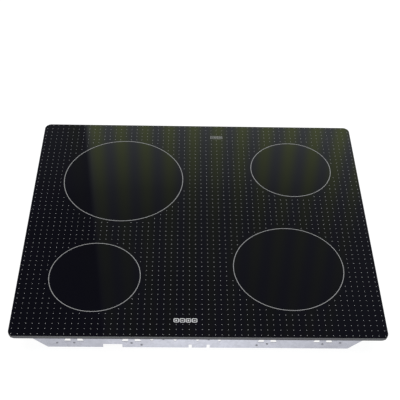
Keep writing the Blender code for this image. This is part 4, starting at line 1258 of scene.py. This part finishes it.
def make_ribbon(grey, red):
    """Flat cable with a ridge over each of its wires, the first one red, and a plug at each end."""
    x0, x1 = RIBBON_X
    pitch, middle = (x1 - x0) / RIBBON_WIRES, (x0 + x1) / 2
    ridges = []
    for index in range(RIBBON_WIRES * 2 + 1):
        ridges.append((x0 - middle + index * pitch / 2, 0.5 if index % 2 else 0.24))
    cable, plugs = bmesh.new(), bmesh.new()
    route = smooth_route([(middle, y, z) for y, z in RIBBON_ROUTE])
    sweep(cable, route, ridges + [(u, -v) for u, v in reversed(ridges)])
    for face in cable.faces:
        face.material_index = int(face.calc_center_median().x < x0 + pitch and len(face.verts) == 4)
    add_piece("flat_cable", cable, [grey, red], ["signal_ribbon"], 20)
    for y_range, z_range in (((-166, -158), (33.2, 35.9)), ((60, 67.5), (4.4, 9.4))):
        soft_box(plugs, (x0 - 1.5, x1 + 1.5), y_range, z_range, 0.6)
    add_piece("cable_plugs", plugs, BLACK_PLASTIC)


# --- Blowers ---

FAN_X = 150
FAN_Y = 155
FAN_RADIUS = 46
FAN_WALL = 1.5
FAN_FRONT = -50
FAN_OUTLET_RIGHT = 24
FAN_SHOULDER = -20
FAN_INLET = 30
FAN_RIBS = 6
FAN_SCREWS = ((-40, -42), (18, -42), (0, 42))
FAN_BLADES = 32
MOTOR_POLES = 8


def fan_path(inset):
    """Wall of the housing from the outlet's right edge, round the back, to its left edge."""
    radius, right = FAN_RADIUS - inset, FAN_OUTLET_RIGHT - inset
    outlet = [(right, FAN_FRONT), (right, FAN_FRONT + 2), (radius, FAN_SHOULDER)]
    return [*outlet, *arc((0, 0), radius, 0, 180, 60), (-radius, FAN_FRONT)]


def make_fan_housing(side, centre):
    """Spiral housing with a round inlet below and ribs on top, and its three screws."""
    low, high = node_box(f"fan_housing_{side}")
    outside = turned(fan_path(0), 0, 1, centre)
    inside = turned(fan_path(FAN_WALL), 0, 1, centre)
    inlet = around(centre, [point - centre for point in outside], FAN_INLET)
    bm = bmesh.new()
    prism(bm, outside, (high.z - FAN_WALL, high.z))
    prism(bm, outside + inside[::-1], (low.z + 0.4, high.z - 0.4))
    floor = low.z + FAN_WALL
    stack(bm, ((outside, low.z), (outside, floor), (inlet, floor), (inlet, low.z)), ring=True)
    lip = ((29.6, 0), (32, 1.2), (32, 3), (31, 3), (30.2, 1.8))
    lathe(bm, [(radius, low.z + up) for radius, up in lip], centre, 64)
    ribs = (high.z - 0.3, high.z + 0.5)
    annulus(bm, centre, 13, 15, ribs, 48)
    for index in range(FAN_RIBS):
        prism(bm, turned(rectangle(11.5, 0.8, (28.5, 0)), index, FAN_RIBS, centre), ribs)
    add_piece(f"blower_shell_{side}", bm, BLACK_PLASTIC, [f"fan_housing_{side}"])
    screws = bmesh.new()
    for x, y in FAN_SCREWS:
        screw_head(screws, (centre.x + x, centre.y + y), 2.2, high.z - 0.05, 1.0)
    add_piece(f"blower_screws_{side}", screws, ZINC)


def make_fan_rotor(side, centre):
    """Cup hub, disc and a ring of curved blades held together by a shroud."""
    low, high = node_box(f"fan_rotor_{side}")
    cup = [(0, 8), (13.6, 8), (14.5, 8.9), (14.5, 18.2)]
    disc = [(35, 18.2), (35, high.z), (13, high.z), (13, 9.5), (0, 9.5)]
    bm = bmesh.new()
    lathe(bm, cup + disc, centre, 72)
    annulus(bm, centre, 32.4, 35, (low.z, low.z + 1.2), 72)
    curve = [(24 + 10.4 * step / 6, 4.6 * (step / 6) ** 2) for step in range(7)]
    blade = [(reach, lean - 0.45) for reach, lean in curve]
    blade += [(reach, lean + 0.45) for reach, lean in reversed(curve)]
    for index in range(FAN_BLADES):
        prism(bm, turned(blade, index, FAN_BLADES, centre), (low.z + 0.3, 18.6))
    body = f"fan_{side}"
    add_piece(f"blower_wheel_{side}", bm, BLACK_PLASTIC, [f"fan_rotor_{side}"], body=body)


def make_fan_motor(side, centre):
    """Stator with eight wound poles round the bearing tube, and the shaft in its middle."""
    low, high = node_box(f"fan_motor_{side}")
    pole = ((-17, 12), (17, 12), (14, 9.8), (5, 9.2), (5, 5), (40, 5), (40, 9.2), (31, 9.8))
    half = [(1.4, 11.8), (1.8, 12.3), (1.8, 18.7), (1.4, 19.2)]
    winding = [(-1.4, 11.8), *half, *((-u, z) for u, z in reversed(half))]
    core, coils, tube = bmesh.new(), bmesh.new(), bmesh.new()
    outline = []
    for index in range(MOTOR_POLES):
        start = 360 * index / MOTOR_POLES
        outline += [polar(centre, radius, math.radians(start + degrees)) for degrees, radius in pole]
        turn = Matrix.Translation((*centre, 0)) @ Matrix.Rotation(math.radians(start), 4, "Z")
        for layer in range(4):
            loop = [turn @ Vector((5.8 + layer * 0.95, u, z)) for u, z in winding]
            sweep(coils, loop, circle(0.45, 6))
    prism(core, outline, (12.4, 18.6))
    add_piece(f"stator_core_{side}", core, SPRING_STEEL, [f"fan_motor_{side}"])
    add_piece(f"stator_coils_{side}", coils, COPPER, sharp=60)
    shaft = [(1.6, low.z), (1.9, low.z + 0.4), (1.9, 11)]
    stepped_rod(tube, centre, [*shaft, (4, 11.2), (4, 20), (9, 20.4), (9, high.z)])
    add_piece(f"bearing_tube_{side}", tube, BRASS)


# --- Mains connection and control socket ---

WIRE_ENTRIES = 5
COVER_RIBS = 5
SOCKET_PINS = 6


def make_terminal_details():
    """Clamping sleeves and screws of the terminal block, and the walls between its entries."""
    low, high = node_box("terminal_block")
    pitch = (high.x - low.x) / WIRE_ENTRIES
    front, back = high.y - 9, high.y - 0.6
    sleeves, screws, walls = bmesh.new(), bmesh.new(), bmesh.new()
    for index in range(WIRE_ENTRIES):
        x = low.x + pitch * (index + 0.5)
        profile = [(1.7, front), (2.4, front), (2.4, back), (1.7, back)]
        stepped_rod(sleeves, (x, low.z + 4), profile, "y", 24, ring=True)
        screw_head(screws, (x, (low.y + high.y) / 2), 2.9, low.z + 7.4, 2.0)
    add_piece("clamping_sleeves", sleeves, BRASS)
    add_piece("terminal_screws", screws, ZINC)
    for index in range(WIRE_ENTRIES + 1):
        x = min(max(low.x + pitch * index, low.x + 0.6), high.x - 0.6)
        soft_box(walls, about(x, 0.6), (low.y + 0.3, high.y - 0.3), (high.z - 0.5, high.z + 1.6), 0.4)
    add_piece("terminal_partitions", walls, WHITE_PLASTIC)


def make_cover_details():
    """Ribs and a finger tab on the outside of the terminal cover."""
    low, high = node_box("terminal_cover")
    bm = bmesh.new()
    for index in range(COVER_RIBS):
        outline = rounded_rectangle((low.x + 8, high.x - 8), about(low.z + 8 + index * 3.1, 0.6), 0.5)
        prism(bm, outline, (high.y - 0.7, high.y + 0.45), "y")
    tab = rounded_rectangle(about((low.x + high.x) / 2, 9), (high.z - 2.6, high.z - 0.4), 0.9)
    prism(bm, tab, (high.y - 0.7, high.y + 1.6), "y")
    add_piece("cover_ribs", bm, BLACK_PLASTIC, body="cover")


def make_socket_pins():
    """The row of flat pins inside the control socket."""
    low, high = node_box("control_socket")
    bm = bmesh.new()
    for index in range(SOCKET_PINS):
        prism(bm, rectangle(0.4, 0.4, (low.x + 4.5 + index * 3, 8.5)), (low.y + 3, high.y - 1), "y")
    add_piece("socket_pins", bm, BRASS)


# --- Worktop clamps ---

CLAMP_X = 262
CLAMP_Y = 120
CLAMP_REACH = 38
CLAMP_TAIL = 9
CLAMP_HALF_WIDTH = 8
CLAMP_SHEET = 1.5
CLAMP_BEND = 2.2
CLAMP_EDGE = 0.3
CLAMP_TEETH = 6


def arm_loops(low, high):
    """Outlines across the arm from its rounded tail to its bent tip, as (sideways, outwards, z)."""
    middle, half_sheet = low + CLAMP_SHEET / 2, CLAMP_SHEET / 2
    bend = CLAMP_REACH - half_sheet - CLAMP_BEND
    stations = [(-CLAMP_TAIL + share, middle) for share in (0.02, 0.4, 1.2, 2.5, 4.5, 8)]
    stations += [(reach, middle) for reach in (4, 20, bend)]
    stations += arc((bend, middle + CLAMP_BEND), CLAMP_BEND, -75, 0, 5)
    stations.append((CLAMP_REACH - half_sheet, high))
    for before, (reach, z), after in zip([stations[0], *stations], stations, [*stations[1:], stations[-1]]):
        ahead = Vector((after[0] - before[0], after[1] - before[1])).normalized()
        across = Vector((-ahead.y, ahead.x)) * CLAMP_SHEET / 2
        half, from_tail = CLAMP_HALF_WIDTH, reach + CLAMP_TAIL
        if from_tail < half:
            half = math.sqrt(half * half - (half - from_tail) ** 2)
        if z > low + 3.5:
            half = CLAMP_HALF_WIDTH - 1
        near, far = Vector((reach, z)) - across, Vector((reach, z)) + across
        inner = half - CLAMP_EDGE
        right = [(inner, near), (half, near.lerp(far, 0.2)), (half, near.lerp(far, 0.8)), (inner, far)]
        yield [(-inner, near), *right, *((-u, place) for u, place in right[:0:-1])]


def make_clamp(zone, x, y, inwards):
    """Bent arm with a rounded tail and a toothed tip, and its screw with a cross recess below."""
    low, high = node_box(f"clamp_bracket_{zone}")

    def inner_range(start, end):
        return sorted((y + inwards * start, y + inwards * end))

    bm = bmesh.new()
    loops = arm_loops(low.z, high.z)
    skin(bm, [[(x + u, y + inwards * place.x, place.y) for u, place in loop] for loop in loops])
    for tooth in range(CLAMP_TEETH):
        u = x - 6 + tooth * 2.4
        outline = [(u - 0.9, high.z - 0.6), (u + 0.9, high.z - 0.6), (u, high.z + 0.9)]
        prism(bm, outline, inner_range(CLAMP_REACH - CLAMP_SHEET + 0.1, CLAMP_REACH - 0.1), "y")
    swage = rounded_rectangle(about(x, 1.6), inner_range(9, 32), 1.5)
    thin = rounded_rectangle(about(x, 0.8), inner_range(9.8, 31.2), 0.7)
    top = low.z + CLAMP_SHEET
    stack(bm, ((swage, top - 0.2), (swage, top + 0.2), (thin, top + 0.7)))
    add_piece(f"clamp_arm_{zone}", bm, ZINC, [f"clamp_bracket_{zone}"], body=f"clamp_{zone}")
    screw_low, screw_high = node_box(f"clamp_screw_{zone}")
    screw = bmesh.new()
    head = low.z - 0.3
    screw_head(screw, (x, y), 4, head, screw_low.z - head)
    stepped_rod(screw, (x, y), [(2, head - 0.1), (2, 9), (1.7, 9.3)], segments=24)
    thread(screw, (x, y), 2, (9, screw_high.z))
    add_piece(f"clamp_bolt_{zone}", screw, ZINC, [f"clamp_screw_{zone}"])


# --- Build ---

make_camera()
make_surroundings()
make_softbox()
make_floor()

make_glass(black_glass(), ground_edge())
make_zone_rings(enamel("ring_ink", (0.27, 0.27, 0.275)))
make_dots(enamel("dot_ink", (0.36, 0.36, 0.37)))
make_front_mark(enamel("mark_ink", (0.6, 0.6, 0.61)))
make_rear_mark(enamel("small_mark_ink", (0.3, 0.3, 0.31)))
make_foam_tape(foam_tape())
make_case_screws()
make_skirt_rivets()

litz, mica, sleeve = litz_wire(), mica_sheet(), braided_sleeve()
for zone in ZONES:
    make_winding(zone, litz)
    make_ferrite(zone)
    make_carrier(zone)
    make_mica(zone, mica)
    make_sensor(zone)
    make_deck_spring(zone)
    make_coil_lead(zone, sleeve)
for side, sign in SIDES.items():
    fan_centre = Vector((sign * FAN_X, FAN_Y))
    make_deck_fittings(side)
    make_power_board(side, sign)
    make_heat_sink(side, sign)
    make_fan_housing(side, fan_centre)
    make_fan_rotor(side, fan_centre)
    make_fan_motor(side, fan_centre)
make_filter_board()
make_control_board()
make_ribbon(lacquer("ribbon_grey", (0.42, 0.42, 0.43)), lacquer("ribbon_red", (0.5, 0.05, 0.04)))
make_terminal_details()
make_cover_details()
make_socket_pins()
for end, y_sign in (("rear", 1), ("front", -1)):
    for side, x_sign in SIDES.items():
        make_clamp(f"{end}_{side}", x_sign * CLAMP_X, y_sign * CLAMP_Y, -y_sign)

KEPT_NODES = (
    (GALVANISED, ("frame_skirt", "base_tray")),
    (SILICONE, ("glass_adhesive",)),
    (ALUMINIUM, ("coil_deck_left", "coil_deck_right")),
    (BLACK_PLASTIC, ("terminal_box", "terminal_cover")),
    (WHITE_PLASTIC, ("terminal_block", "control_socket")),
)
for material, nodes in KEPT_NODES:
    for node in nodes:
        finish_node(NODES[node], material)
